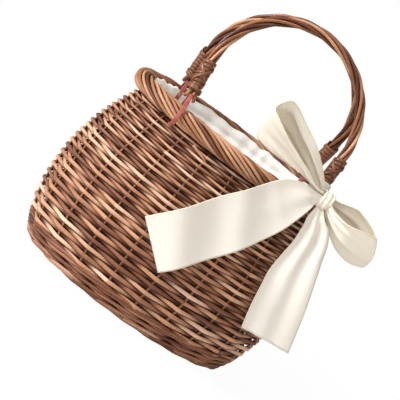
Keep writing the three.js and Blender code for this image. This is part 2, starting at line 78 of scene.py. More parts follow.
# The basket's wall in millimetres, as the solid model has it
wall = {
    "bellyHalfLength": 125, "footHalfLength": 106, "shoulderHalfLength": 103, "endInset": 42,
    "bellyHeight": 75, "top": 161.2, "footRoundness": 2.6, "shoulderRoundness": 2,
    "thickness": 8, "stakes": 20, "samples": 1440,
}


def wallHalfLength(z):
    belly, height = wall["bellyHalfLength"], wall["bellyHeight"]
    if z < height:
        down = (height - z) / height
        return belly - (belly - wall["footHalfLength"]) * down ** wall["footRoundness"]
    up = (z - height) / (wall["top"] - height)
    return belly - (belly - wall["shoulderHalfLength"]) * up ** wall["shoulderRoundness"]


# How much the wall widens over a millimetre of height
def wallSlope(z):
    return wallHalfLength(z + 0.5) - wallHalfLength(z - 0.5)


# Points on the basket's oval, for one angle or many
def ovalPoint(halfLength, angle, z):
    x = halfLength * np.cos(angle)
    y = (halfLength - wall["endInset"]) * np.sin(angle)
    return np.stack(np.broadcast_arrays(x, y, z), -1)


def ovalOutward(halfLength, angle):
    x = (halfLength - wall["endInset"]) * np.cos(angle)
    return unit(np.stack([x, halfLength * np.sin(angle), 0 * angle], -1))


# Angles of places that lie at the given shares of the way round the oval
def evenAngles(halfLength, shares, start):
    angles = np.linspace(start, start + 2 * math.pi, wall["samples"] + 1)
    lengths = travelled(ovalPoint(halfLength, angles, 0.0))
    return np.interp(shares * lengths[-1], lengths, angles)


stakeShares = np.arange(wall["stakes"]) / wall["stakes"]
stakeTurns = evenAngles(wall["bellyHalfLength"] - wall["thickness"] / 2, stakeShares, -math.pi / 2)


# A place at a stake, this far in from the wall's outside; stakes are counted on past one turn
def stakeSpot(place, z, inset):
    return ovalPoint(wallHalfLength(z) - inset, stakeTurns[place % wall["stakes"]], z)


# Meshes from arrays, in millimetres
def meshObject(name, points, faces, uvs, values=None):
    mesh = bpy.data.meshes.new(name)
    mesh.from_pydata((np.asarray(points) * mm).tolist(), [], faces)
    layer = mesh.uv_layers.new(name="UVMap")
    layer.data.foreach_set("uv", np.asarray(uvs, np.float32).ravel())
    for label, data in (values or {}).items():
        mesh.attributes.new(label, "FLOAT", "POINT").data.foreach_set("value", np.asarray(data, np.float32))
    mesh.polygons.foreach_set("use_smooth", [True] * len(mesh.polygons))
    mesh.update()
    piece = bpy.data.objects.new(name, mesh)
    bpy.context.scene.collection.objects.link(piece)
    return piece


def perPoint(value, count):
    return np.broadcast_to(np.asarray(value, float), (count,))


# Which way is outward and which is upward at each point of a rod
def rodDirections(line, out, closed):
    ahead = np.roll(line, -1, 0) - np.roll(line, 1, 0)
    if not closed:
        ahead[0], ahead[-1] = line[1] - line[0], line[-1] - line[-2]
    ahead = unit(ahead)
    out = unit(out - (out * ahead).sum(1, keepdims=True) * ahead)
    return out, np.cross(out, ahead)


def rodRings(rod, line, sides):
    out, up = rodDirections(line, np.asarray(rod["out"], float), rod.get("closed", False))
    around = 2 * np.pi * np.arange(sides) / sides
    power = rod.get("flat", 1.0)      # 1 is round, less is a strap with rounded edges
    c, s = (np.sign(wave) * abs(wave) ** power for wave in (np.cos(around), np.sin(around)))
    halfOut = perPoint(rod["halfOut"], len(line))[:, None, None]
    halfUp = perPoint(rod.get("halfUp", rod["halfOut"]), len(line))[:, None, None]
    return line[:, None] + out[:, None] * halfOut * c[None, :, None] + up[:, None] * halfUp * s[None, :, None]


# A rod is a line of points with its outward half-thickness, and its upward one where it isn't round.
# Many rods make one mesh, whose UV map counts millimetres along each rod
def rodMesh(name, rods, sides=8):
    points, faces, uvs, tones, paintedShades = [], [], [], [], []
    first = 0
    for rod in rods:
        line = np.asarray(rod["line"], float)
        count = len(line)
        closed = rod.get("closed", False)
        points.append(rodRings(rod, line, sides).reshape(-1, 3))
        tones.append(np.repeat(perPoint(rod["tone"], count), sides))
        # Each point's share of painted shade, for the willow material
        paintedShades.append(np.repeat(perPoint(rod.get("paintedShade", 0.0), count), sides))
        travel = travelled(np.append(line, line[:1], 0)) + rod.get("offset", 0)
        for i in range(count if closed else count - 1):
            near, far = first + i * sides, first + (i + 1) % count * sides
            for k in range(sides):
                m = (k + 1) % sides
                faces.append([near + k, near + m, far + m, far + k])
                uvs += [[travel[i], k / sides], [travel[i], (k + 1) / sides],
                        [travel[i + 1], (k + 1) / sides], [travel[i + 1], k / sides]]
        if not closed:
            for i, order in ((0, -1), (count - 1, 1)):
                faces.append([first + i * sides + k for k in range(sides)][::order])
                uvs += [[travel[i], 0.5]] * sides
        first += count * sides
    return meshObject(name, np.concatenate(points), faces, uvs,
                      {"tone": np.concatenate(tones), "paintedShade": np.concatenate(paintedShades)})


# Each rod's pattern of fibres starts at its own place, in millimetres
def fibreStart():
    return chance.uniform(0, 900)


# A rod's shade from low to high, more often near the middle
def rodShade(low, high, spread):
    return low + (high - low) * chance.betavariate(spread, spread)


# Materials
def addNode(tree, kind, settings=None, links=None, inputs=None, stops=()):
    node = tree.nodes.new(kind)
    for key, value in (settings or {}).items():
        setattr(node, key, value)
    for key, value in (inputs or {}).items():
        node.inputs[key].default_value = value
    for key, socket in (links or {}).items():
        tree.links.new(socket, node.inputs[key])
    for k, (place, colour) in enumerate(stops):
        elements = node.color_ramp.elements
        element = elements[k] if k < 2 else elements.new(place)      # a new ramp has two
        element.position = place
        element.color = hexColour(colour)
    return node


def newMaterial(name, sockets):
    material = bpy.data.materials.new(name)
    material.use_nodes = True
    tree = material.node_tree
    shader = tree.nodes["Principled BSDF"]
    for key, value in sockets.items():
        shader.inputs[key].default_value = value
    return material, tree, shader


# Peeled willow: long fibres along the rod, each rod its own shade and a soft satin skin, and painted
# shade that mixes the wood towards a dark brown where the rod runs behind its neighbours or lies deep
# in the weave. A fibre is drawn about 17 mm long and a ninth of the way round, coarser than a real one
# so that it shows, and the patches are about 12 mm wide
willowSkin = {
    "specular": 0.4, "fibreScale": (0.06, 9, 1), "fibreDetail": 4.0, "fibreRoughness": 0.62,
    "fibreShade": 0.3, "patchesPerMetre": 85.0, "patchDetail": 2.0, "patchShade": 0.22,
    # behind is the dark brown of the painted shade
    "behind": "#42210F", "grain": 0.3, "grainHeight": 0.4,
}


def willow(name, stops, roughness=0.5):
    skin = willowSkin
    sockets = {"Roughness": roughness, "Specular IOR Level": skin["specular"]}
    material, tree, shader = newMaterial(name, sockets)
    uv = addNode(tree, "ShaderNodeUVMap", {"uv_map": "UVMap"}).outputs["UV"]
    tone = addNode(tree, "ShaderNodeAttribute", {"attribute_name": "tone"}).outputs["Fac"]
    paintedShade = addNode(tree, "ShaderNodeAttribute", {"attribute_name": "paintedShade"}).outputs["Fac"]
    place = addNode(tree, "ShaderNodeTexCoord").outputs["Object"]
    stretched = addNode(tree, "ShaderNodeMapping", links={"Vector": uv}, inputs={"Scale": skin["fibreScale"]})
    fibres = addNode(tree, "ShaderNodeTexNoise", links={"Vector": stretched.outputs["Vector"]},
                     inputs={"Scale": 1.0, "Detail": skin["fibreDetail"],
                             "Roughness": skin["fibreRoughness"]})
    patches = addNode(tree, "ShaderNodeTexNoise", links={"Vector": place},
                      inputs={"Scale": skin["patchesPerMetre"], "Detail": skin["patchDetail"]})
    shade = addNode(tree, "ShaderNodeMath", {"operation": "MULTIPLY_ADD"},
                    {0: fibres.outputs["Fac"], 2: tone}, {1: skin["fibreShade"]})
    shade = addNode(tree, "ShaderNodeMath", {"operation": "MULTIPLY_ADD"},
                    {0: patches.outputs["Fac"], 2: shade.outputs[0]}, {1: skin["patchShade"]})
    shade = addNode(tree, "ShaderNodeMath", {"operation": "SUBTRACT"}, {0: shade.outputs[0]},
                    {1: (skin["fibreShade"] + skin["patchShade"]) / 2})
    wood = addNode(tree, "ShaderNodeValToRGB", links={"Fac": shade.outputs[0]}, stops=stops)
    # Painted shade: each point's share mixes the wood towards the dark behind colour
    mix = addNode(tree, "ShaderNodeMix", {"data_type": "RGBA"}, {0: paintedShade, 6: wood.outputs["Color"]},
                  {7: hexColour(skin["behind"])})
    bump = addNode(tree, "ShaderNodeBump", links={"Height": fibres.outputs["Fac"]},
                   inputs={"Strength": skin["grain"], "Distance": skin["grainHeight"] * mm})
    tree.links.new(mix.outputs[2], shader.inputs["Base Color"])
    tree.links.new(bump.outputs["Normal"], shader.inputs["Normal"])
    return material


wovenWillow = willow("steamed_willow",
                     [(0.0, "#4C2515"), (0.3, "#835137"), (0.6, "#BE8A68"), (1.0, "#F8D8BC")])
rimWillow = willow("rim_willow",
                   [(0.0, "#38190A"), (0.3, "#6C3E27"), (0.6, "#9C6A48"), (1.0, "#DDB08C")])
stakeWillow = willow("stake_willow", [(0.0, "#5E3722"), (1.0, "#A87A58")])
handleWillow = willow("brown_willow",
                      [(0.0, "#34160A"), (0.35, "#653A24"), (0.7, "#945F40"), (1.0, "#D6A47C")], 0.34)
print("materials ready")


# Camera, in degrees and millimetres
camera = {
    "azimuth": -9, "elevation": 10.5, "roll": 38, "distance": 1350, "lens": 138.5, "target": (0, 0, 113),
    "farthest": 50000,
}


def placeCamera():
    a, e, r = (math.radians(camera[key]) for key in ("azimuth", "elevation", "roll"))
    back = np.array([math.sin(a) * math.cos(e), -math.cos(a) * math.cos(e), math.sin(e)])
    right = np.array([math.cos(a), math.sin(a), 0])
    up = np.cross(back, right)
    columns = [right * math.cos(r) + up * math.sin(r), up * math.cos(r) - right * math.sin(r), back]
    bpy.ops.object.camera_add()
    eye = bpy.context.object
    eye.name = "camera"
    eye.matrix_world = Matrix([[column[i] for column in columns] for i in range(3)]).to_4x4()
    eye.location = (np.array(camera["target"]) + back * camera["distance"]) * mm
    eye.data.lens = camera["lens"]
    eye.data.clip_end = camera["farthest"] * mm
    bpy.context.scene.camera = eye


# Lamps, in metres and watts
lamps = {
    "left_panel": {"place": (-2.3, -0.8, 1.3), "aim": (0, 0, 0.1), "size": 0.8, "power": 84},
    "right_panel": {"place": (2.3, -0.9, 0.7), "aim": (0, 0, 0.12), "size": 1.2, "power": 3},
    "front_panel": {"place": (-0.4, -2.4, 1.2), "aim": (0, 0, 0.1), "size": 1.2, "power": 12},
    "top_panel": {"place": (0.0, -0.8, 2.4), "aim": (0, 0, 0.1), "size": 1.0, "power": 17},
}


def addLamp(name, place, aim, size, power):
    bpy.ops.object.light_add(type="AREA", location=place)
    lamp = bpy.context.object
    lamp.name = name
    lamp.data.size = size
    lamp.data.energy = power
    lamp.rotation_euler = (Vector(aim) - Vector(place)).to_track_quat("-Z", "Y").to_euler()


# The studio is white to the camera and dimmer and warmer to the object
studio = {"glossShare": 0.35, "onObject": 0.28, "objectColour": "#FFF0DE", "seenColour": "#FFFFFF"}


def studioWorld():
    world = bpy.data.worlds.new("studio")
    bpy.context.scene.world = world
    world.use_nodes = True
    tree = world.node_tree
    background = tree.nodes["Background"]
    path = addNode(tree, "ShaderNodeLightPath")
    glossy = addNode(tree, "ShaderNodeMath", {"operation": "MULTIPLY"}, {0: path.outputs["Is Glossy Ray"]},
                     {1: studio["glossShare"]})
    seen = addNode(tree, "ShaderNodeMath", {"operation": "MAXIMUM"},
                   {0: path.outputs["Is Camera Ray"], 1: glossy.outputs[0]})
    level = addNode(tree, "ShaderNodeMapRange", links={"Value": seen.outputs[0]},
                    inputs={"To Min": studio["onObject"], "To Max": 1.0})
    colour = addNode(tree, "ShaderNodeMix", {"data_type": "RGBA"}, {0: path.outputs["Is Camera Ray"]},
                     {6: hexColour(studio["objectColour"]), 7: hexColour(studio["seenColour"])})
    tree.links.new(level.outputs["Result"], background.inputs["Strength"])
    tree.links.new(colour.outputs[2], background.inputs["Color"])


# White paper, matt, that shines white to the camera and keeps a faint shadow round the basket
paper = {
    "size": 14, "roughness": 0.9, "colour": "#F7F7F7", "shine": "#FFFFFF", "leastShine": 0.96,
    "shadowReach": 0.15, "whiteFrom": 0.6,
}


def paperFloor():
    bpy.ops.object.select_all(action="DESELECT")
    bpy.ops.mesh.primitive_plane_add(size=paper["size"], location=(0, 0, 0))
    floor = bpy.context.object
    floor.name = "floor"
    material, tree, shader = newMaterial("white_paper_sweep", {"Roughness": paper["roughness"],
                                                               "Base Color": hexColour(paper["colour"])})
    path = addNode(tree, "ShaderNodeLightPath")
    shine = addNode(tree, "ShaderNodeEmission", inputs={"Color": hexColour(paper["shine"]), "Strength": 1.0})
    place = addNode(tree, "ShaderNodeTexCoord").outputs["Object"]
    away = addNode(tree, "ShaderNodeVectorMath", {"operation": "LENGTH"}, {0: place})
    share = addNode(tree, "ShaderNodeMapRange", {"interpolation_type": "SMOOTHSTEP"},
                    {"Value": away.outputs["Value"]},
                    {"From Min": paper["shadowReach"], "From Max": paper["whiteFrom"],
                     "To Min": paper["leastShine"], "To Max": 1.0})
    seenShare = addNode(tree, "ShaderNodeMath", {"operation": "MULTIPLY"},
                        {0: share.outputs["Result"], 1: path.outputs["Is Camera Ray"]})
    mix = addNode(tree, "ShaderNodeMixShader",
                  links={0: seenShare.outputs[0], 1: shader.outputs[0], 2: shine.outputs[0]})
    tree.links.new(mix.outputs[0], tree.nodes["Material Output"].inputs["Surface"])
    floor.data.materials.append(material)


placeCamera()
for label, lamp in lamps.items():
    addLamp(label, **lamp)
studioWorld()
paperFloor()
bpy.context.scene.view_settings.view_transform = "Standard"
print("camera and light ready")


# Woven wall: each row passes in front of one stake and behind the next. Thickness and between are
# shares of the pitch, at a stake and half way to the next, and places are shares of that way
weave = {
    "bottom": 19.75, "sideFrom": 38, "pitchFoot": 4.3, "pitchTop": 2.35, "fall": 1.2, "reach": 143.6,
    "midPitch": 3, "widerByPitch": 0.06, "thickness": 0.54, "between": 0.47, "halfOut": 1.45, "corner": 0.07,
    "places": [0, 0.05, 0.11, 0.19, 0.32, 0.5, 0.68, 0.81, 0.89, 0.95], "cornerSamples": 5,
    "wander": 0.3, "rodStakes": (4, 9), "rodSize": (0.86, 1.06), "shade": (0.12, 0.92, 1.9),
    # behind, behindFrom, behindPower, side and darkest set painted shade: most where a rod runs behind a
    # stake, a little half way between stakes
    "behind": 0.95, "behindFrom": 0.15, "behindPower": 1.2, "side": 0.08, "darkest": 0.9,
}


def rowPitch(z):
    down = max(0.0, (wall["top"] - z) / weave["reach"])
    return weave["pitchTop"] + (weave["pitchFoot"] - weave["pitchTop"]) * down ** weave["fall"]


def rowHeights():
    rows = [weave["bottom"]]
    while rows[-1] + rowPitch(rows[-1]) < wall["top"] - weave["pitchTop"] / 2:
        rows.append(rows[-1] + rowPitch(rows[-1]))
    return rows


# A line from stake to stake, its corners rounded by the mean of places close to each other
def cornerLine(corners, places, corner):
    line = np.zeros((len(places), 3))
    offsets = np.linspace(-corner, corner, weave["cornerSamples"])
    for offset in offsets:
        at = places + offset
        k = np.floor(at).astype(int)
        t = (at - k)[:, None]
        line += corners[k % len(corners)] * (1 - t) + corners[(k + 1) % len(corners)] * t
    return line / len(offsets)


# A row is made of several rods end to end, each with its own shade and thickness
def rodsInRow(odd, count):
    stakes, steps = wall["stakes"], len(weave["places"])
    tones, sizes = np.zeros(count), np.ones(count)
    k = odd + 1 + 2 * chance.randrange(stakes // 2)
    reached = 0
    while reached < stakes:
        length = min(chance.randint(*weave["rodStakes"]), stakes - reached)
        span = np.arange(k * steps, (k + length) * steps) % count
        tones[span] = rodShade(*weave["shade"])
        sizes[span] = chance.uniform(*weave["rodSize"])
        k += length
        reached += length
    return tones, sizes


def randingRow(z, odd):
    stakes = wall["stakes"]
    pitch, halfLength = rowPitch(z), wallHalfLength(z)
    halfOut = weave["halfOut"] * (1 + weave["widerByPitch"] * (pitch - weave["midPitch"]))
    insets = [halfOut if (k + odd) % 2 == 0 else wall["thickness"] - halfOut for k in range(stakes)]
    heights = [z + chance.uniform(-1, 1) * weave["wander"] * pitch / weave["midPitch"] for k in range(stakes)]
    corners = np.array([stakeSpot(k, heights[k], insets[k]) for k in range(stakes)])
    places = (np.arange(stakes)[:, None] + np.array(weave["places"])).ravel()
    line = cornerLine(corners, places, weave["corner"])
    angles = np.arctan2(line[:, 1] / (halfLength - wall["endInset"]), line[:, 0] / halfLength)
    out = ovalOutward(halfLength, angles) - np.array([0, 0, wallSlope(z)])
    tones, sizes = rodsInRow(odd, len(places))
    near = abs((places + 0.5) % 1 - 0.5) * 2     # 0 at a stake, 1 half way to the next
    front = np.cos(np.pi * (places + odd))       # 1 in front of a stake, -1 behind it
    halfUp = pitch * (weave["thickness"] + (weave["between"] - weave["thickness"]) * near)
    # Painted shade: darkest behind each stake, a little more half way between stakes, up to darkest
    paintedShade = weave["behind"] * np.clip(weave["behindFrom"] - front, 0, 1) ** weave["behindPower"]
    paintedShade = np.minimum(paintedShade + weave["side"] * near, weave["darkest"])
    return {"line": line, "out": out, "halfOut": halfOut, "halfUp": halfUp * sizes, "tone": tones,
            "paintedShade": paintedShade, "closed": True, "offset": fibreStart()}


rows = rowHeights()
randing = [randingRow(z, i % 2) for i, z in enumerate(rows)]
lowRows = sum(z < weave["sideFrom"] for z in rows)
sideWeave = rodMesh("side_weave_rods", randing[lowRows:])
sideWeave.data.materials.append(wovenWillow)
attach(sideWeave, "basket")
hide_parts("side_weave")
print("side weave", len(rows), "rows")


# Foot: waling, three rods at a time, each in front of two stakes and behind one, with the lowest
# rows of the randing above it
foot = {
    "bottom": 2.2, "top": 18.4, "pitch": 5.4, "halfUp": 1.55, "halfOut": 1.45, "steps": 8, "lift": 1.5,
    # The foot's rods take a darker range of tones and a base share of painted shade, as painted shade low on
    # the basket
    "start": 10, "corner": 0.12, "tip": 8, "tipSize": 0.3, "rodRounds": (2, 4), "shade": (0.0, 0.7, 1.8),
    "paintedShade": 0.18, "behind": 0.74, "behindFrom": 0.35, "behindPower": 1.3,
    "outward": np.array([0.45, 1, 0]), "downward": np.array([0, 0, -0.45]),
}
foot["climb"] = (foot["top"] - foot["bottom"]) / foot["pitch"]      # turns that rise
foot["length"] = int((foot["climb"] + 2) * wall["stakes"])          # counted in stakes


# One turn is level, then the rods climb, and the last turn is level again
def walingCorner(k, phase):
    z = foot["bottom"] + foot["pitch"] * min(foot["climb"], max(0, k / wall["stakes"] - 1))
    z += (0, -foot["lift"], foot["lift"])[phase]
    inset = foot["halfOut"] if phase else wall["thickness"] - foot["halfOut"]
    return stakeSpot(k + foot["start"], min(foot["top"] + 1, max(foot["bottom"], z)), inset)


def walingRod(strand):
    steps, total = foot["steps"], foot["length"]
    corners = np.array([walingCorner(k, (k + strand) % 3) for k in range(-1, total + 2)])
    places = 1 + np.arange(total * steps) / steps
    line = cornerLine(corners, places, foot["corner"])
    tones = np.zeros(len(places))
    k = 0
    while k < total:
        length = 3 * chance.randint(*foot["rodRounds"])
        tones[k * steps:(k + length) * steps] = rodShade(*foot["shade"])
        k += length
    # More painted shade where the rod runs behind a stake
    behind = np.cos(2 * np.pi * (places - 1 + strand) / 3)      # 1 behind a stake, low in front of two
    behind = np.clip(behind + foot["behindFrom"], 0, 1) ** foot["behindPower"]
    ends = np.minimum(np.arange(len(places)), np.arange(len(places))[::-1]) / foot["tip"]
    out = unit(line * foot["outward"]) + foot["downward"]
    return {"line": line, "out": out, "halfOut": foot["halfOut"], "tone": tones,
            "halfUp": foot["halfUp"] * np.clip(ends, foot["tipSize"], 1),
            "paintedShade": foot["paintedShade"] + foot["behind"] * behind, "offset": fibreStart()}


wale = rodMesh("foot_wale_rods", [walingRod(strand) for strand in range(3)] + randing[:lowRows])
wale.data.materials.append(wovenWillow)
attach(wale, "basket")
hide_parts("wale_band")
print("foot waling ready")


# Stakes: upright rods that the weave passes round
# Each stake gets a little painted shade, for its place deep inside the weave
stake = {
    "radius": 1.25, "tipRadius": 0.85, "foot": 3, "top": 162, "rows": 24, "shade": (0.3, 0.8), "paintedShade": 0.12,
}


def stakeRod(k):
    heights = np.linspace(stake["foot"], stake["top"], stake["rows"])
    return {"line": [stakeSpot(k, z, wall["thickness"] / 2) for z in heights],
            "out": [[math.cos(stakeTurns[k]), math.sin(stakeTurns[k]), 0]] * stake["rows"],
            "halfOut": np.linspace(stake["radius"], stake["tipRadius"], stake["rows"]),
            "tone": chance.uniform(*stake["shade"]), "paintedShade": stake["paintedShade"], "offset": fibreStart()}


# A pale rod end left outside the weave below the front of the rim
stub = {"from": (-42.2, -60.4, 158.2), "to": (-26.2, -67.2, 154.2), "radius": 1.5, "tip": 0.5, "rows": 7}


def stubRod():
    return {"line": np.linspace(stub["from"], stub["to"], stub["rows"]), "out": [[0, -1, 0]] * stub["rows"],
            "halfOut": np.linspace(stub["radius"], stub["tip"], stub["rows"]), "tone": 1.0}


stakes = rodMesh("stake_rods", [stakeRod(k) for k in range(wall["stakes"])] + [stubRod()])
stakes.data.materials.append(stakeWillow)
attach(stakes, "basket")
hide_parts(*[f"stake_{k + 1:02d}" for k in range(wall["stakes"])])
print("stakes ready")


# Rim: the stakes' ends turned down into a rope border, round a dark core tube that is painted shade inside
# the rope
rim = {
    "halfLength": 104, "height": 170, "radius": 8.5, "strands": 11, "strandRadius": 1.45, "ringRadius": 6.6,
    "turns": 5, "steps": 480, "swell": (0.3, 5), "ripple": (0.12, 17), "waver": (0.035, 9), "rodEnd": 0.62,
    "shade": (0.1, 0.9, 1.8), "rodSize": (0.82, 1.05), "core": 5.0, "coreTone": 0.2, "corePaintedShade": 0.75,
}
rimShares = np.arange(rim["steps"]) / rim["steps"]
rimAngles = evenAngles(rim["halfLength"], rimShares, 0.0)


def unevenness(size, waves):
    return size * np.sin(2 * np.pi * (rimShares * waves + chance.random()))


def rimStrand(strand):
    turn = 2 * np.pi * (strand / rim["strands"] - rim["turns"] * rimShares)
    radius = rim["ringRadius"] + unevenness(*rim["swell"]) + unevenness(*rim["ripple"])
    turn = turn + unevenness(*rim["waver"])
    c, s = np.cos(turn), np.sin(turn)
    line = ovalPoint(rim["halfLength"] + radius * c, rimAngles, rim["height"] + radius * s)
    out = ovalOutward(rim["halfLength"], rimAngles) * c[:, None] + np.array([0, 0, 1]) * s[:, None]
    tones, sizes = np.zeros(rim["steps"]), np.ones(rim["steps"])
    rods = np.floor(rim["rodEnd"] - turn / (2 * np.pi)).astype(int)      # a new rod starts low inside the rim
    for rod in np.unique(rods):
        tones[rods == rod] = rodShade(*rim["shade"])
        sizes[rods == rod] = chance.uniform(*rim["rodSize"])
    return {"line": line, "out": out, "halfOut": rim["strandRadius"], "halfUp": rim["strandRadius"] * sizes,
            "tone": tones, "closed": True, "offset": fibreStart()}


# A dark tube inside the rope, painted shade so that light does not pass between the strands
def rimCore():
    return {"line": ovalPoint(rim["halfLength"], rimAngles, rim["height"]), "out": [[0, 0, 1]] * rim["steps"],
            "halfOut": rim["core"], "tone": rim["coreTone"], "paintedShade": rim["corePaintedShade"], "closed": True}


border = rodMesh("rim_rope", [rimStrand(k) for k in range(rim["strands"])] + [rimCore()])
border.data.materials.append(rimWillow)
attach(border, "basket")
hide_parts("rim_border")
print("rim ready")


# Handles: five rods twisted round a thin core, darkened with painted shade, on a frame of their own that
# leans over the basket
handle = {
    "halfSpan": 67, "splay": 3, "rise": 72, "foot": 18.5, "top": 58, "pivotDepth": 47.42, "rimHeight": 170,
    "touchGap": 0.3, "rods": 5, "rodRadius": 1.6, "ring": 2.994, "turns": 2.75, "slack": 0.9,
    "rodSize": (0.93, 1.05), "shade": (0.15, 0.85), "core": 1.7, "coreTone": 0.1, "corePaintedShade": 0.8,
    "steps": 150, "legSamples": 60, "archSamples": 400, "sides": 10,
}


# The two handles lean until their bundles of rods nearly touch at the top
def handleLean():
    bundleRadius = handle["ring"] + handle["rodRadius"]
    reach = handle["pivotDepth"] - bundleRadius - handle["touchGap"] / 2
    return math.asin(reach / (handle["top"] + handle["rise"]))


handle["lean"] = handleLean()


# How far a leg stands from the middle at a height along it
def legSpan(along):
    below = max(0.0, (handle["top"] - along) / (handle["top"] - handle["foot"]))
    return handle["halfSpan"] + handle["splay"] - handle["splay"] * below ** 2


# Up one leg, over the arch and down the other, in even steps
def handleLine():
    low = [(-legSpan(w), w) for w in np.linspace(handle["foot"], handle["top"], handle["legSamples"])]
    halfWidth = handle["halfSpan"] + handle["splay"]
    turns = np.linspace(math.pi, 0, handle["archSamples"])[1:-1]
    arch = [(halfWidth * math.cos(t), handle["top"] + handle["rise"] * math.sin(t)) for t in turns]
    points = np.array(low + arch + [(-x, w) for x, w in low[::-1]])
    lengths = travelled(points)
    wanted = np.linspace(0, lengths[-1], handle["steps"])
    x, w = (np.interp(wanted, lengths, points[:, i]) for i in (0, 1))
    return np.stack([x, 0 * wanted, w], 1)


# From a handle's own upright frame to its leaning place on the basket
def onHandle(points, side):
    points = np.asarray(points, float)
    c, s = math.cos(handle["lean"]), math.sin(handle["lean"])
    y = points[..., 1] * c + points[..., 2] * s
    z = -points[..., 1] * s + points[..., 2] * c
    placed = np.stack([points[..., 0], y - handle["pivotDepth"], z + handle["rimHeight"]], -1)
    return placed if side == "front" else placed * np.array([-1, -1, 1])


def turnedOut(vectors, side):
    origin = onHandle(np.zeros(3), side)
    return onHandle(vectors, side) - origin


def placedRod(rod, side):
    return {**rod, "line": onHandle(rod["line"], side), "out": turnedOut(rod["out"], side)}


def twistedRods():
    centre = handleLine()
    ahead = unit(np.gradient(centre, axis=0))
    across = np.stack([ahead[:, 2], 0 * ahead[:, 0], -ahead[:, 0]], 1)
    share = np.linspace(0, 1, handle["steps"])
    dark, pale = handle["shade"]
    rods = []
    for k in range(handle["rods"]):
        turn = 2 * np.pi * (k / handle["rods"] + handle["turns"] * share)[:, None]
        out = across * np.cos(turn) + np.array([0, 1, 0]) * np.sin(turn)
        rods.append({"line": centre + out * handle["ring"], "out": out, "halfOut": handle["rodRadius"],
                     "halfUp": handle["rodRadius"] * handle["slack"] * chance.uniform(*handle["rodSize"]),
                     "tone": dark + (pale - dark) * (k * 2 % handle["rods"]) / (handle["rods"] - 1),
                     "offset": fibreStart()})
    # The core is dark with painted shade for the gaps between the rods
    rods.append({"line": centre, "out": across, "halfOut": handle["core"], "tone": handle["coreTone"],
                 "paintedShade": handle["corePaintedShade"]})
    return rods


# Cut rod ends stand out below each binding: distance from the leg's middle, height on the leg
cutEnd = {
    "turns": np.radians([22, 158, -28, -150]), "root": (2.2, 26), "bend": (3.4, 21), "tip": (5.0, 15.5),
    "unevenTip": 1.2, "facingUp": 0.3, "radius": 1.45, "shade": (0.5, 0.95),
}


def cutEndRod(leg, turn):
    across, inward = math.cos(turn), math.sin(turn)
    line = [[leg * handle["halfSpan"] + reach * across, reach * inward, along]
            for reach, along in (cutEnd["root"], cutEnd["bend"], cutEnd["tip"])]
    line[-1][2] += chance.uniform(-cutEnd["unevenTip"], cutEnd["unevenTip"])
    return {"line": line, "out": [[across, inward, cutEnd["facingUp"]]] * len(line),
            "halfOut": cutEnd["radius"], "tone": chance.uniform(*cutEnd["shade"]), "offset": fibreStart()}


for side in ("front", "back"):
    rods = twistedRods() + [cutEndRod(leg, turn) for leg in (-1, 1) for turn in cutEnd["turns"]]
    bundle = rodMesh(f"{side}_handle_rods", [placedRod(rod, side) for rod in rods], handle["sides"])
    bundle.data.materials.append(handleWillow)
    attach(bundle, f"{side}_handle")
    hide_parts(*[f"{side}_rod_{k + 1}" for k in range(handle["rods"])])
print("handles ready")


# Bindings: flat cane wound round each leg, with nearly two looser turns at its foot and two lengths
# that cross over it on their way down and up
binding = {
    "inner": 4.894, "thickness": 1.2, "stepsInTurn": 24, "flat": 0.55, "tuckReach": 0.12,
    "shade": (0.25, 0.7),
}
cane = {
    "winding": {"lift": 0, "from": 26, "to": 51.2, "turns": 7, "halfWidth": 1.72, "halfThickness": 0.6,
                "start": 0, "tuck": 0},
    "collar": {"lift": 1.05, "from": 23.6, "to": 26.2, "turns": 1.9, "halfWidth": 1.45, "halfThickness": 0.6,
               "start": -0.1, "tuck": 0.04},
    "fallingCross": {"lift": 0.9, "from": 48, "to": 29.5, "turns": 0.46, "halfWidth": 1.3,
                     "halfThickness": 0.45, "start": -0.48, "tuck": 0.16},
    "risingCross": {"lift": 1.25, "from": 29.5, "to": 48, "turns": 0.46, "halfWidth": 1.3,
                    "halfThickness": 0.45, "start": -0.48, "tuck": 0.16},
}


def caneStrip(leg, strip):
    t = np.linspace(0, 1, int(strip["turns"] * binding["stepsInTurn"]) + 2)
    angle = 2 * np.pi * (strip["start"] + strip["turns"] * t)
    along = strip["from"] + (strip["to"] - strip["from"]) * t
    toEnd = np.clip(1 - t / binding["tuckReach"], 0, 1) + np.clip(1 - (1 - t) / binding["tuckReach"], 0, 1)
    radius = (binding["inner"] + binding["thickness"] / 2 + strip["lift"]) * (1 - strip["tuck"] * toEnd)
    centre = np.array([[leg * legSpan(w), 0, w] for w in along])
    out = np.stack([np.cos(angle), np.sin(angle), 0 * angle], 1)
    return {"line": centre + out * radius[:, None], "out": out, "halfOut": strip["halfThickness"],
            "halfUp": strip["halfWidth"], "flat": binding["flat"], "tone": chance.uniform(*binding["shade"]),
            "offset": fibreStart()}


for side in ("front", "back"):
    for leg, label in ((-1, "left"), (1, "right")):
        strips = [placedRod(caneStrip(leg, strip), side) for strip in cane.values()]
        wrap = rodMesh(f"{side}_binding_{label}_cane", strips)
        wrap.data.materials.append(handleWillow)
        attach(wrap, f"{side}_handle")
        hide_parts(f"{side}_binding_{label}")
print("bindings ready")


# Leather ties: a strap round the rim whose sides rise to a narrow end between the rods of the leg
tie = {
    "ringRadius": 11.55, "tip": 20.5, "tipRadius": 1.3, "halfWidth": 1.95, "halfThickness": 0.6, "flat": 0.5,
    "ringSteps": 64, "tipSteps": 10, "sideShares": (0.25, 0.5, 0.75), "sides": 12, "tone": 0.5,
}


# Dyed leather: dull red, worn paler in blotches of about 4 mm, over a fine grain of about 0.7 mm
dyed = {
    "roughness": 0.55, "grainsPerMetre": 1400.0, "grainStrength": 0.3, "grainHeight": 0.2,
    "blotchesPerMetre": 260.0, "blotchDetail": 3.0,
    "shades": [(0.3, "#8E4038"), (0.55, "#A85A50"), (0.75, "#BC7468")],
}


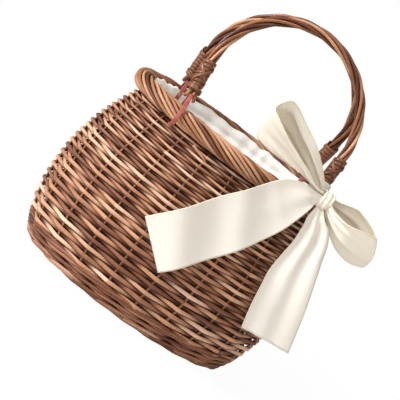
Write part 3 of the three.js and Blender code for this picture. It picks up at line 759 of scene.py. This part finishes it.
def redLeather():
    material, tree, shader = newMaterial("dyed_leather", {"Roughness": dyed["roughness"]})
    place = addNode(tree, "ShaderNodeTexCoord").outputs["Object"]
    grain = addNode(tree, "ShaderNodeTexVoronoi", links={"Vector": place},
                    inputs={"Scale": dyed["grainsPerMetre"]})
    worn = addNode(tree, "ShaderNodeTexNoise", links={"Vector": place},
                   inputs={"Scale": dyed["blotchesPerMetre"], "Detail": dyed["blotchDetail"]})
    dye = addNode(tree, "ShaderNodeValToRGB", links={"Fac": worn.outputs["Fac"]}, stops=dyed["shades"])
    bump = addNode(tree, "ShaderNodeBump", links={"Height": grain.outputs["Distance"]},
                   inputs={"Strength": dyed["grainStrength"], "Distance": dyed["grainHeight"] * mm})
    tree.links.new(dye.outputs["Color"], shader.inputs["Base Color"])
    tree.links.new(bump.outputs["Normal"], shader.inputs["Normal"])
    return material


# Each row: how far inward and up it lies, and which way the strap faces there
def arcRows(radius, height, angles):
    c, s = np.cos(angles), np.sin(angles)
    return np.stack([radius * c, height + radius * s, c, s], 1)


def strapRows():
    tilt = math.asin((tie["ringRadius"] - tie["tipRadius"]) / tie["tip"])
    ring = arcRows(tie["ringRadius"], 0, np.linspace(math.pi - tilt, 2 * math.pi + tilt, tie["ringSteps"]))
    tip = arcRows(tie["tipRadius"], tie["tip"], np.linspace(tilt, math.pi - tilt, tie["tipSteps"]))
    shares = np.array(tie["sideShares"])[:, None]
    rising = ring[-1] + (tip[0] - ring[-1]) * shares
    falling = tip[-1] + (ring[0] - tip[-1]) * shares
    return np.concatenate([ring, rising, tip, falling])


def strapRod(leg):
    inward, up, facingIn, facingUp = strapRows().T
    return {"line": np.stack([0 * up + leg * handle["halfSpan"], inward, up], 1),
            "out": np.stack([0 * up, facingIn, facingUp], 1), "halfOut": tie["halfThickness"],
            "halfUp": tie["halfWidth"], "flat": tie["flat"], "tone": tie["tone"], "closed": True}


leather = redLeather()
for side in ("front", "back"):
    for leg, label in ((-1, "left"), (1, "right")):
        piece = rodMesh(f"{side}_tie_{label}_strap", [placedRod(strapRod(leg), side)], tie["sides"])
        piece.data.materials.append(leather)
        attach(piece, f"{side}_handle")
        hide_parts(f"{side}_tie_{label}")
print("ties ready")


# Base: oval rounds woven over and under the long sticks and the spokes
base = {
    "firstRound": 46.5, "lastRound": 96, "spacing": 4.05, "middle": 3.5, "lift": 1.2, "halfUp": 1.95,
    "halfOut": 1.5, "rodSize": (0.9, 1.03), "shade": (0.15, 0.85), "paintedShade": 0.5, "steps": 8, "sides": 6,
}
stick = {
    "rows": (-20, 0, 20), "reach": 97.7, "depth": 55.7, "clear": 1, "bend": 0.8, "radius": 2,
    "taper": (1.05, 0.88), "samples": 13, "shade": (0.3, 0.8),
}
spoke = {"reach": 96.2, "rootShare": 0.45, "radius": 1.3, "samples": 6, "shade": (0.3, 0.8), "paintedShade": 0.15}


def baseRound(reach, i):
    count = wall["stakes"] * base["steps"]
    places = np.arange(count) / base["steps"]
    onceRound = np.append(stakeTurns, stakeTurns[0] + 2 * np.pi)
    angles = np.interp(places, np.arange(len(onceRound)), onceRound)
    over = np.cos(np.pi * (places + i))
    # Painted shade where the round rises behind a spoke, as seen from underneath
    return {"line": ovalPoint(reach, angles, base["middle"] + base["lift"] * over),
            "out": [[0, 0, -1]] * count, "halfOut": base["halfOut"],
            "halfUp": base["halfUp"] * chance.uniform(*base["rodSize"]),
            "tone": chance.uniform(*base["shade"]), "paintedShade": base["paintedShade"] * np.clip(over, 0, 1),
            "closed": True, "offset": fibreStart()}


def spokeRod(turn):
    far = ovalPoint(spoke["reach"], turn, base["middle"])
    near = far * np.array([spoke["rootShare"], 0.0, 1.0])
    # Spokes get a little painted shade where they lie among the rounds
    return {"line": np.linspace(near, far, spoke["samples"]), "out": [[0, 0, -1]] * spoke["samples"],
            "halfOut": spoke["radius"], "tone": chance.uniform(*spoke["shade"]), "paintedShade": spoke["paintedShade"],
            "offset": fibreStart()}


def stickRod(y):
    halfLength = stick["reach"] * math.sqrt(1 - (y / stick["depth"]) ** 2) - stick["clear"]
    bend = chance.uniform(-stick["bend"], stick["bend"])
    shares = np.linspace(-1, 1, stick["samples"])
    return {"line": [[x * halfLength, y + bend * (1 - x * x), base["middle"]] for x in shares],
            "out": [[0, 0, -1]] * stick["samples"],
            "halfOut": stick["radius"] * np.linspace(*stick["taper"], stick["samples"]),
            "tone": chance.uniform(*stick["shade"]), "offset": fibreStart()}


sticks = rodMesh("base_stick_rods", [stickRod(y) for y in stick["rows"]])
sticks.data.materials.append(stakeWillow)
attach(sticks, "basket")
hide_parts(*[f"base_stick_{k + 1}" for k in range(len(stick["rows"]))])
rounds = np.arange(base["firstRound"], base["lastRound"], base["spacing"])
baseRods = [baseRound(reach, i) for i, reach in enumerate(rounds)] + [spokeRod(turn) for turn in stakeTurns]
baseWeave = rodMesh("base_rods", baseRods, base["sides"])
baseWeave.data.materials.append(wovenWillow)
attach(baseWeave, "basket")
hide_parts("base_weave")
print("base ready")


# Cloth: a grid of points, open or closed round, that then gets its thickness
def sheetMesh(name, grid, uvs, closedAcross=False, extraFaces=()):
    rowCount, columns = grid.shape[:2]
    faces, coordinates = [], []
    for i in range(rowCount - 1):
        for j in range(columns if closedAcross else columns - 1):
            k = (j + 1) % columns
            faces.append([i * columns + j, i * columns + k, (i + 1) * columns + k, (i + 1) * columns + j])
            coordinates += [uvs[i, j], uvs[i, j + 1], uvs[i + 1, j + 1], uvs[i + 1, j]]
    for face in extraFaces:
        faces.append(list(face))
        coordinates += [[0, 0]] * len(face)
    return meshObject(name, grid.reshape(-1, 3), faces, coordinates)


# The side that is added takes the material this many slots further on
def solidified(piece, thickness, offset=0.0, slotsOn=0):
    bpy.ops.object.select_all(action="DESELECT")
    bpy.context.view_layer.objects.active = piece
    piece.select_set(True)
    modifier = piece.modifiers.new("thickness", "SOLIDIFY")
    modifier.thickness = thickness * mm
    modifier.offset = offset
    modifier.material_offset = slotsOn
    bpy.ops.object.modifier_apply(modifier=modifier.name)


# Lining: a white cotton cup, gathered along its top hem; its side towards the weave is painted dark brown, as
# painted shade for the gaps between the rods
lining = {
    "inset": 8.75, "floor": 7.9, "floorShares": (0.2, 0.55, 0.85), "top": 176.2, "rimClear": 0.65,
    "columns": 360, "sideRows": 20, "sideTop": 148, "hemRows": 20, "hemFrom": 151, "ease": 0.7,
    "easeFrom": 40, "easeTo": 150, "lean": 4.2, "leanFrom": 158, "gathers": 31, "gatherDepth": 1.5,
    "gatherReach": 50, "gatherMean": 0.875, "gatherSpread": 0.225, "crowding": [(0.5, 5, 1), (0.3, 11, 0)],
    "edgeSlow": 0.7, "edgeFast": 0.5, "edgeDrop": 1.1, "edgePower": 4, "thickness": 0.5, "weaveAcross": 0.6,
}


# Plain woven cotton: matt and softly crumpled, with clouds of shade about 17 mm wide, creases of
# about 22 mm, and threads drawn about 1.1 mm apart, wider than real ones so that they show
cotton = {
    "roughness": 0.95, "sheen": 0.25, "sheenRoughness": 0.6,
    "cloudsPerMetre": 60.0, "cloudDetail": 3.0, "cloudEnds": (0.3, 0.7),
    "threadsPerMetre": 900.0, "threadDetail": 2.0, "threadStrength": 0.15, "threadHeight": 0.3,
    "creasesPerMetre": 45.0, "creaseDetail": 4.0, "creaseStrength": 0.35, "creaseHeight": 4,
}


def plainCotton(name, low, high):
    material, tree, shader = newMaterial(name, {
        "Roughness": cotton["roughness"], "Sheen Weight": cotton["sheen"],
        "Sheen Roughness": cotton["sheenRoughness"]})
    place = addNode(tree, "ShaderNodeTexCoord").outputs["Object"]
    clouds = addNode(tree, "ShaderNodeTexNoise", links={"Vector": place},
                     inputs={"Scale": cotton["cloudsPerMetre"], "Detail": cotton["cloudDetail"]})
    threads = addNode(tree, "ShaderNodeTexNoise", links={"Vector": place},
                      inputs={"Scale": cotton["threadsPerMetre"], "Detail": cotton["threadDetail"]})
    creases = addNode(tree, "ShaderNodeTexNoise", links={"Vector": place},
                      inputs={"Scale": cotton["creasesPerMetre"], "Detail": cotton["creaseDetail"]})
    shade = addNode(tree, "ShaderNodeValToRGB", links={"Fac": clouds.outputs["Fac"]},
                    stops=list(zip(cotton["cloudEnds"], (low, high))))
    soft = addNode(tree, "ShaderNodeBump", links={"Height": creases.outputs["Fac"]},
                   inputs={"Strength": cotton["creaseStrength"], "Distance": cotton["creaseHeight"] * mm})
    fine = addNode(tree, "ShaderNodeBump",
                   links={"Height": threads.outputs["Fac"], "Normal": soft.outputs["Normal"]},
                   inputs={"Strength": cotton["threadStrength"], "Distance": cotton["threadHeight"] * mm})
    tree.links.new(shade.outputs["Color"], shader.inputs["Base Color"])
    tree.links.new(fine.outputs["Normal"], shader.inputs["Normal"])
    return material


# The cup follows the wall's inside and keeps clear of the rim's tube
def liningReach(z):
    low = wallHalfLength(min(z, wall["top"])) - lining["inset"]
    low -= lining["ease"] * smooth(lining["easeFrom"], lining["easeTo"], z)
    low += lining["lean"] * smooth(lining["leanFrom"], lining["top"], z)
    clear = rim["radius"] + lining["rimClear"]
    return min(low, rim["halfLength"] - math.sqrt(max(0.0, clear ** 2 - (z - rim["height"]) ** 2)))


# Where round the hem each gather lies: they crowd and spread in uneven waves
def gatherPhases(angles):
    crowding = sum(size * np.sin(waves * angles + start) for size, waves, start in lining["crowding"])
    phase = np.cumsum(1 + crowding)
    return phase / phase[-1] * 2 * np.pi * lining["gathers"]


# How far the hem's edge rises and falls
def hemEdge(angles, phase):
    slow = lining["edgeSlow"] * np.sin(phase / 2 + 1)
    fast = lining["edgeFast"] * np.sin(phase + 2 * np.sin(3 * angles))
    return slow + fast - lining["edgeDrop"]


def liningGrid():
    angles = np.linspace(0, 2 * np.pi, lining["columns"], endpoint=False)
    phase = gatherPhases(angles)
    edge = hemEdge(angles, phase)
    deepness = lining["gatherSpread"] * np.sin(3 * angles + 0.5) * np.sin(7 * angles) + lining["gatherMean"]
    heights = np.concatenate([np.linspace(lining["floor"], lining["sideTop"], lining["sideRows"]),
                              np.linspace(lining["hemFrom"], lining["top"], lining["hemRows"])])
    grid = []
    for z in heights:
        rise = max(0.0, 1 - (lining["top"] - z) / lining["gatherReach"])
        inward = lining["gatherDepth"] * rise * (0.5 - 0.5 * np.cos(phase)) * deepness
        grid.append(ovalPoint(liningReach(z) - inward, angles, z + edge * rise ** lining["edgePower"]))
    floor = [grid[0] * np.array([share, share, 1]) for share in lining["floorShares"]]
    across = np.arange(lining["columns"] + 1) / lining["columns"] * lining["weaveAcross"]
    up = np.append([lining["floor"]] * len(floor), heights) * mm
    return np.array(floor + grid), np.stack(np.meshgrid(across, up), -1)


cupGrid, cupUvs = liningGrid()
cupFloor = range(lining["columns"] - 1, -1, -1)
cup = sheetMesh("cotton_lining", cupGrid, cupUvs, closedAcross=True, extraFaces=[cupFloor])
# Painted shade: the dark brown outer side darkens the gaps in the weave
cup.data.materials.append(plainCotton("painted_shade_cotton_back", "#4A2C1C", "#5C3A26"))
cup.data.materials.append(plainCotton("plain_cotton", "#F8F5EF", "#FFFEFB"))
solidified(cup, lining["thickness"], slotsOn=1)
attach(cup, "basket")
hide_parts("lining")
print("lining ready")


# Satin bow, in places relative to its knot
bow = {
    "knot": (74.47, -58.75, 187.06), "width": 50, "thickness": 0.4, "standOff": 4.1, "bridgeFoot": 110,
    "landing": 4, "tipReach": 0.1, "folds": 3, "loopSteps": (96, 40), "tailSteps": (80, 40),
    "depthChecks": 41, "aimStep": 0.01, "wrapShares": (0.2, 0.8),
}
knotPlace = np.array(bow["knot"], float)

# Along each loop, out along its front and back along its rear: lower edge, upper edge, fold depth
leftLoop = {
    "length": 175, "bulge": (-1.5, 0, 0), "dish": 4.5,
    "places": [
        (-4.2, -2.6, -5.2, -4.2, -2.6, 5.6, 0.8), (-17.2, -3.5, 2.4, -14.6, -9, 4.4, 1),
        (-28.8, -6, 4, -27, -16, 7.2, 1.9), (-44.7, -7, 4, -42.6, -24, 16.1, 1.5),
        (-60.9, -6, 5.3, -64.1, -30, 26.9, 0.5), (-74.3, 0, 6.8, -80.2, -28, 35.9, 0.1),
        (-78.9, 8, 9.3, -85, -24, 39.6, 0), (-69.3, 17, 10, -81, -16, 46.1, 0.6),
        (-54.6, 17, 10.4, -72.3, -10, 50.2, 1.8), (-40.3, 16, 8.4, -52.2, -7, 39.6, 2.8),
        (-25.9, 11, 4.5, -31.3, -4, 28.2, 3.2), (-14.6, 6, 0.4, -12.1, 1, 13.5, 2.6),
        (-4.2, 2.6, -5.2, -4.2, 2.6, 5.6, 0.8),
    ],
}
rightLoop = {
    "length": 130, "bulge": (4, 0, -1), "dish": 0,
    "places": [
        (4.5, -2.6, -5.6, 4.5, -2.6, 5.2, 0.8), (10.7, -1, -10.9, 7.1, -9, 0.1, 1.6),
        (21.7, 0, -19.2, 16.9, -18, -1.2, 2.2), (35, 2, -27.5, 26.2, -25, 0.1, 1.6),
        (49.4, 6, -31.3, 35.8, -26, 2.3, 0.8), (60, 10, -30.2, 45.1, -23, 2.4, 0.3),
        (67, 16, -28.3, 51.4, -17, 2.4, 0), (62, 20, -26.8, 48.4, -11, 4.7, 0.3),
        (50.9, 20, -23.9, 37.2, -9, 9.6, 0.9), (37.3, 17, -19.8, 25.8, -6, 12.4, 1.6),
        (22.4, 12, -12.8, 15.4, -2, 9.3, 2.2), (10.4, 6, -6.8, 6.3, 1, 5.8, 2),
        (4.5, 2.6, -5.6, 4.5, 2.6, 5.2, 0.8),
    ],
}

# Down each tail: one edge across and up, the other edge across and up, and how far forward it hangs
leftTail = {
    "length": 165,
    "places": [
        (-3.6, 2.6, -2.4, -4.2, 4), (-10.1, 2.3, -6.1, -5.4, 7), (-24.7, 2.8, -8, -13, 11),
        (-36.5, -1, -10.8, -24.4, 11.5), (-44.4, -7.2, -14.1, -35.2, 10), (-53.6, -18.4, -19.9, -48.2, 8),
        (-65.6, -32.8, -30.3, -65.1, 6), (-80.7, -51.2, -44.6, -84.9, 6), (-98, -72, -62.1, -105.8, 6),
        (-116.1, -95.7, -79.3, -126.9, 6),
    ],
}
rightTail = {
    "length": 132,
    "places": [
        (-2.6, -6.6, 3.6, -6.6, 2.5), (-4.4, -13, 8, -11.6, 4.5), (-5.2, -18.5, 11.5, -14.4, 6.5),
        (-3.3, -27.9, 18, -18.4, 7), (-1.9, -42, 24.7, -29.6, 7), (-2.6, -57.6, 28.7, -41.6, 7),
        (-2.9, -73.7, 34.1, -56.7, 7), (-0.1, -89.8, 40.5, -74.6, 7), (4.1, -108.9, 47.7, -96, 7),
        (9.9, -128.8, 56.2, -123.2, 7),
    ],
}

# How far the tails' waves stand out of the cloth, at a share of the length and of the width
leftWaves = {
    "gather": 1.6, "gatherRounds": 0.8, "gatherStart": (0.05, 0.2), "curl": 1.2, "curlStart": (0.15, 0.5),
    "curlFade": 0.5,
    "ridges": [{"height": 8.5, "at": 0.91, "slant": 0.03, "reach": 0.08},
               {"height": 4.5, "at": 0.68, "slant": 0.04, "reach": 0.07}],
}
rightWaves = {
    "fold": 3.2, "foldRounds": 1.05, "foldAside": 0.12, "foldSlant": 0.1, "foldStart": (0.0, 0.22),
    "foldFade": 0.55, "fadeStart": (0.45, 1), "swell": 1.5, "swellDown": 4.5, "swellAcross": 1.5,
    "swellStart": (0.4, 0.9),
}


# Satin: a smooth ivory face, thin enough to glow a little, with a painted line of shadow inside each woven
# edge. Its fine floats run along the ribbon, drawn about 17 mm long and 0.14 mm wide
satinFace = {
    "roughness": 0.42, "specular": 0.5, "sheen": 0.2, "glowRadius": (1.0, 0.9, 0.75), "glowDepth": 1.6,
    "edgeFrom": 0.468, "edgeMiddle": 0.484, "edgeTo": 0.5, "floatsInWidth": (0.5, 60, 1), "floatScale": 6.0,
    "floatDetail": 3.0, "floatStrength": 0.05, "floatHeight": 0.6,
}


def satinRibbon(name, colour, edgeShadow, glow):
    face = satinFace
    material, tree, shader = newMaterial(name, {
        "Roughness": face["roughness"], "Specular IOR Level": face["specular"], "Sheen Weight": face["sheen"],
        "Subsurface Weight": glow, "Subsurface Radius": face["glowRadius"],
        "Subsurface Scale": face["glowDepth"] * mm})
    uv = addNode(tree, "ShaderNodeUVMap", {"uv_map": "UVMap"}).outputs["UV"]
    split = addNode(tree, "ShaderNodeSeparateXYZ", links={"Vector": uv})
    centred = addNode(tree, "ShaderNodeMath", {"operation": "SUBTRACT"}, {0: split.outputs["Y"]}, {1: 0.5})
    edge = addNode(tree, "ShaderNodeMath", {"operation": "ABSOLUTE"}, {0: centred.outputs[0]})
    # The painted line of shadow runs just inside each edge
    body = addNode(tree, "ShaderNodeValToRGB", links={"Fac": edge.outputs[0]},
                   stops=[(0.0, colour), (face["edgeFrom"], colour), (face["edgeMiddle"], edgeShadow),
                          (face["edgeTo"], colour)])
    stretched = addNode(tree, "ShaderNodeMapping", links={"Vector": uv},
                        inputs={"Scale": face["floatsInWidth"]})
    floats = addNode(tree, "ShaderNodeTexNoise", links={"Vector": stretched.outputs["Vector"]},
                     inputs={"Scale": face["floatScale"], "Detail": face["floatDetail"]})
    bump = addNode(tree, "ShaderNodeBump", links={"Height": floats.outputs["Fac"]},
                   inputs={"Strength": face["floatStrength"], "Distance": face["floatHeight"] * mm})
    tree.links.new(body.outputs["Color"], shader.inputs["Base Color"])
    tree.links.new(bump.outputs["Normal"], shader.inputs["Normal"])
    return material


# The loops and the knot are doubled cloth; their satin is painted warmer than the band and the tails, as
# painted warm shade for the light that passes through and between the two layers
satin = satinRibbon("ivory_satin", "#E4DFD5", "#D2C5A8", 0.3)
warmShadedSatin = satinRibbon("ivory_satin_painted_warm_shade", "#EFE7D6", "#DCCAA2", 0.4)


# A smooth line through evenly timed places
def through(places, s):
    places = np.asarray(places, float)
    last = len(places) - 1
    at = min(max(s, 0.0), 1.0) * last
    i = min(int(at), last - 1)
    t = at - i
    before = places[i - 1] if i > 0 else 2 * places[0] - places[1]
    after = places[i + 2] if i + 2 <= last else 2 * places[last] - places[last - 1]
    a, b = places[i], places[i + 1]
    slopes = (b - before) / 2 * (t ** 3 - 2 * t * t + t) + (after - a) / 2 * (t ** 3 - t * t)
    return a * (2 * t ** 3 - 3 * t * t + 1) + b * (3 * t * t - 2 * t ** 3) + slopes


# A surface gives the place at a share s along the ribbon and v across it, from -1 to 1
def loopSurface(loop):
    places = loop["places"]

    def surface(s, v):
        row = through(places, s)
        lower, upper, fold = row[:3], row[3:6], max(0.0, row[6])
        behind, ahead = through(places, s - bow["aimStep"]), through(places, s + bow["aimStep"])
        along = unit(ahead[:3] + ahead[3:6] - behind[:3] - behind[3:6])
        normal = unit(np.cross(unit(upper - lower), along))
        crease = fold * math.cos(math.pi * bow["folds"] * v)
        if s >= 0.5:
            crease = -crease
        elif loop["dish"]:
            crease -= fold + loop["dish"] * math.sin(2 * math.pi * s) ** 2 * (1 - v * v)
        tip = math.exp(-((s - 0.5) / bow["tipReach"]) ** 2) * (1 - v * v)
        return lower + (upper - lower) * (v + 1) / 2 + np.array(loop["bulge"]) * tip + normal * crease
    return surface


# How far the basket reaches to the front; cloth bridges the neck between the rim and the belly
def frontDepth(x, z):
    up = between(bow["bridgeFoot"], rim["height"], z)
    low = wallHalfLength(min(bow["bridgeFoot"], max(0, z)))
    halfLength = low + (rim["halfLength"] + rim["radius"] - low) * up
    if z > rim["height"] + rim["radius"] or abs(x) > halfLength:
        return 0.0
    return (halfLength - wall["endInset"]) * math.sqrt(1 - (x / halfLength) ** 2)


# A tail lies on the basket where that reaches further forward than the tail would hang
def tailSurface(tail, wave):
    depthAt = {}

    def surface(s, v):
        row = through(tail["places"], s)
        one, other = row[0:2], row[2:4]
        if s not in depthAt:
            spots = [one + (other - one) * t for t in np.linspace(0, 1, bow["depthChecks"])]
            pushed = max(frontDepth(knotPlace[0] + x, knotPlace[2] + z) for x, z in spots) + bow["standOff"]
            hanging = row[4] - knotPlace[1]
            depthAt[s] = (hanging + pushed + math.hypot(hanging - pushed, bow["landing"])) / 2
        x, z = other + (one - other) * (v + 1) / 2
        return np.array([x, -depthAt[s] - knotPlace[1] - wave(s, v), z])
    return surface


# From 0 to 1 and back, highest at a turn of 0
def crest(turn):
    return 0.5 + 0.5 * math.cos(turn)


def leftWave(s, v):
    waves = leftWaves
    out = waves["gather"] * crest(2 * math.pi * waves["gatherRounds"] * v)
    out *= smooth(*waves["gatherStart"], s) * (1 - s) ** 2
    for ridge in waves["ridges"]:
        out += ridge["height"] * math.exp(-((s - ridge["at"] + ridge["slant"] * v) / ridge["reach"]) ** 2)
    return out + waves["curl"] * v * v * smooth(*waves["curlStart"], s) * (1 - waves["curlFade"] * s)


def rightWave(s, v):
    waves = rightWaves
    aside = v - waves["foldAside"] - waves["foldSlant"] * s
    folds = waves["fold"] * crest(2 * math.pi * waves["foldRounds"] * aside) * smooth(*waves["foldStart"], s)
    folds *= 1 - waves["foldFade"] * smooth(*waves["fadeStart"], s)
    swell = crest(waves["swellDown"] * s + waves["swellAcross"] * v - math.pi / 2)
    return folds + waves["swell"] * swell * smooth(*waves["swellStart"], s)


def ribbonPiece(label, surface, length, steps, material):
    along, across = (np.linspace(0, 1, count + 1) for count in steps)
    grid = np.array([[surface(s, 2 * v - 1) for v in across] for s in along]) + knotPlace
    uvs = np.stack(np.meshgrid(length / bow["width"] * along, across, indexing="ij"), -1)
    piece = sheetMesh(f"ribbon_{label}_satin", grid, uvs)
    solidified(piece, bow["thickness"])
    piece.data.materials.append(material)
    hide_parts(f"ribbon_{label}")
    return piece


def loopPiece(side, loop):
    surface = loopSurface(loop)
    # The loops take the satin with painted warm shade
    return ribbonPiece(f"loop_{side}", surface, loop["length"], bow["loopSteps"], warmShadedSatin)


def tailPiece(side, tail, wave):
    surface = tailSurface(tail, wave)
    return ribbonPiece(f"tail_{side}", surface, tail["length"], bow["tailSteps"], satin)


# The loops turn with the handle; the tails are fixed where they are built
for side, loop in (("left", leftLoop), ("right", rightLoop)):
    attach(loopPiece(side, loop), "front_handle")
hanging = tailPiece("left", leftTail, leftWave)
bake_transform(hanging)
hanging = tailPiece("right", rightTail, rightWave)
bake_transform(hanging)
print("loops and tails ready")


# UV places for cloth that wraps round, away from the ribbon's edges
def wrapUvs(rowCount, columns):
    low, high = bow["wrapShares"]
    return np.stack(np.meshgrid(np.linspace(0, 1, columns + 1), np.linspace(low, high, rowCount + 1)), -1)


# Knot: gathered satin drawn round the roots of the loops
knot = {
    "halfLength": 5.1, "halfHeight": 8.2, "halfDepth": 6.9, "layers": 1.1, "flare": -0.9, "flareTurns": 0.3,
    "crease": 0.45, "creases": 2.1, "creaseBend": 1.1, "creaseFrom": 0.4, "pleat": 0.3, "pleats": 7.5,
    "pleatFrom": 0.6, "lean": 0.9, "along": 48, "around": 96,
}


def knotGrid():
    s = np.linspace(-1, 1, knot["along"] + 1)[:, None]
    angle = 2 * np.pi * np.arange(knot["around"]) / knot["around"]
    bend = knot["creaseBend"] * np.sin(angle + knot["creaseFrom"])
    out = knot["flare"] * (s * s - knot["flareTurns"])
    out = out + knot["crease"] * np.sin(np.pi * knot["creases"] * s + bend)
    out = out + knot["pleat"] * np.sin(knot["pleats"] * s - 2 * angle + knot["pleatFrom"])
    x = s * knot["halfLength"] + knot["lean"] * np.sin(angle)
    y, z = (knot["halfDepth"] + out) * np.cos(angle), (knot["halfHeight"] + out) * np.sin(angle)
    return np.stack([x, y, z], -1)


knotUvs = wrapUvs(knot["along"], knot["around"])
wrap = sheetMesh("ribbon_knot_satin", knotGrid() + knotPlace, knotUvs, closedAcross=True)
solidified(wrap, knot["layers"], offset=-1.0)
# The knot takes the satin with painted warm shade
wrap.data.materials.append(warmShadedSatin)
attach(wrap, "front_handle")
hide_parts("ribbon_knot")
print("knot ready")


# Band: the ribbon's turn round the leg that carries the knot, drawn out to a tip behind the knot
band = {
    "foot": 15, "height": 12, "radius": 7.7, "tip": 9.4, "tipPower": 6, "aside": 7.1, "forward": 16.3,
    "ripple": 0.22, "rippleUp": 1.1, "rippleBend": 1.5, "across": 16, "around": 72,
    "length": 53, "folded": 13,
}


def bandGrid():
    heights = np.linspace(band["foot"], band["foot"] + band["height"], band["across"] + 1)[:, None]
    angle = 2 * np.pi * np.arange(band["around"]) / band["around"]
    toTip = np.cos(angle - math.atan2(-band["forward"], band["aside"]))
    reach = band["radius"] + (band["tip"] - band["radius"]) * np.maximum(0.0, toTip) ** band["tipPower"]
    reach = reach + band["ripple"] * np.sin(band["rippleUp"] * heights + band["rippleBend"] * np.sin(angle))
    leg = np.array([[legSpan(w)] for w in heights.ravel()])
    return np.stack(np.broadcast_arrays(leg + reach * np.cos(angle), reach * np.sin(angle), heights), -1)


bandUvs = wrapUvs(band["across"], band["around"])
turn = sheetMesh("ribbon_band_satin", onHandle(bandGrid(), "front"), bandUvs, closedAcross=True)
solidified(turn, bow["thickness"])
turn.data.materials.append(satin)
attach(turn, "front_handle")
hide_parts("ribbon_band")
print("band ready")

showing = [label for label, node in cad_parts.items() if not node.hide_render]
print("plain solids left showing:", len(showing))
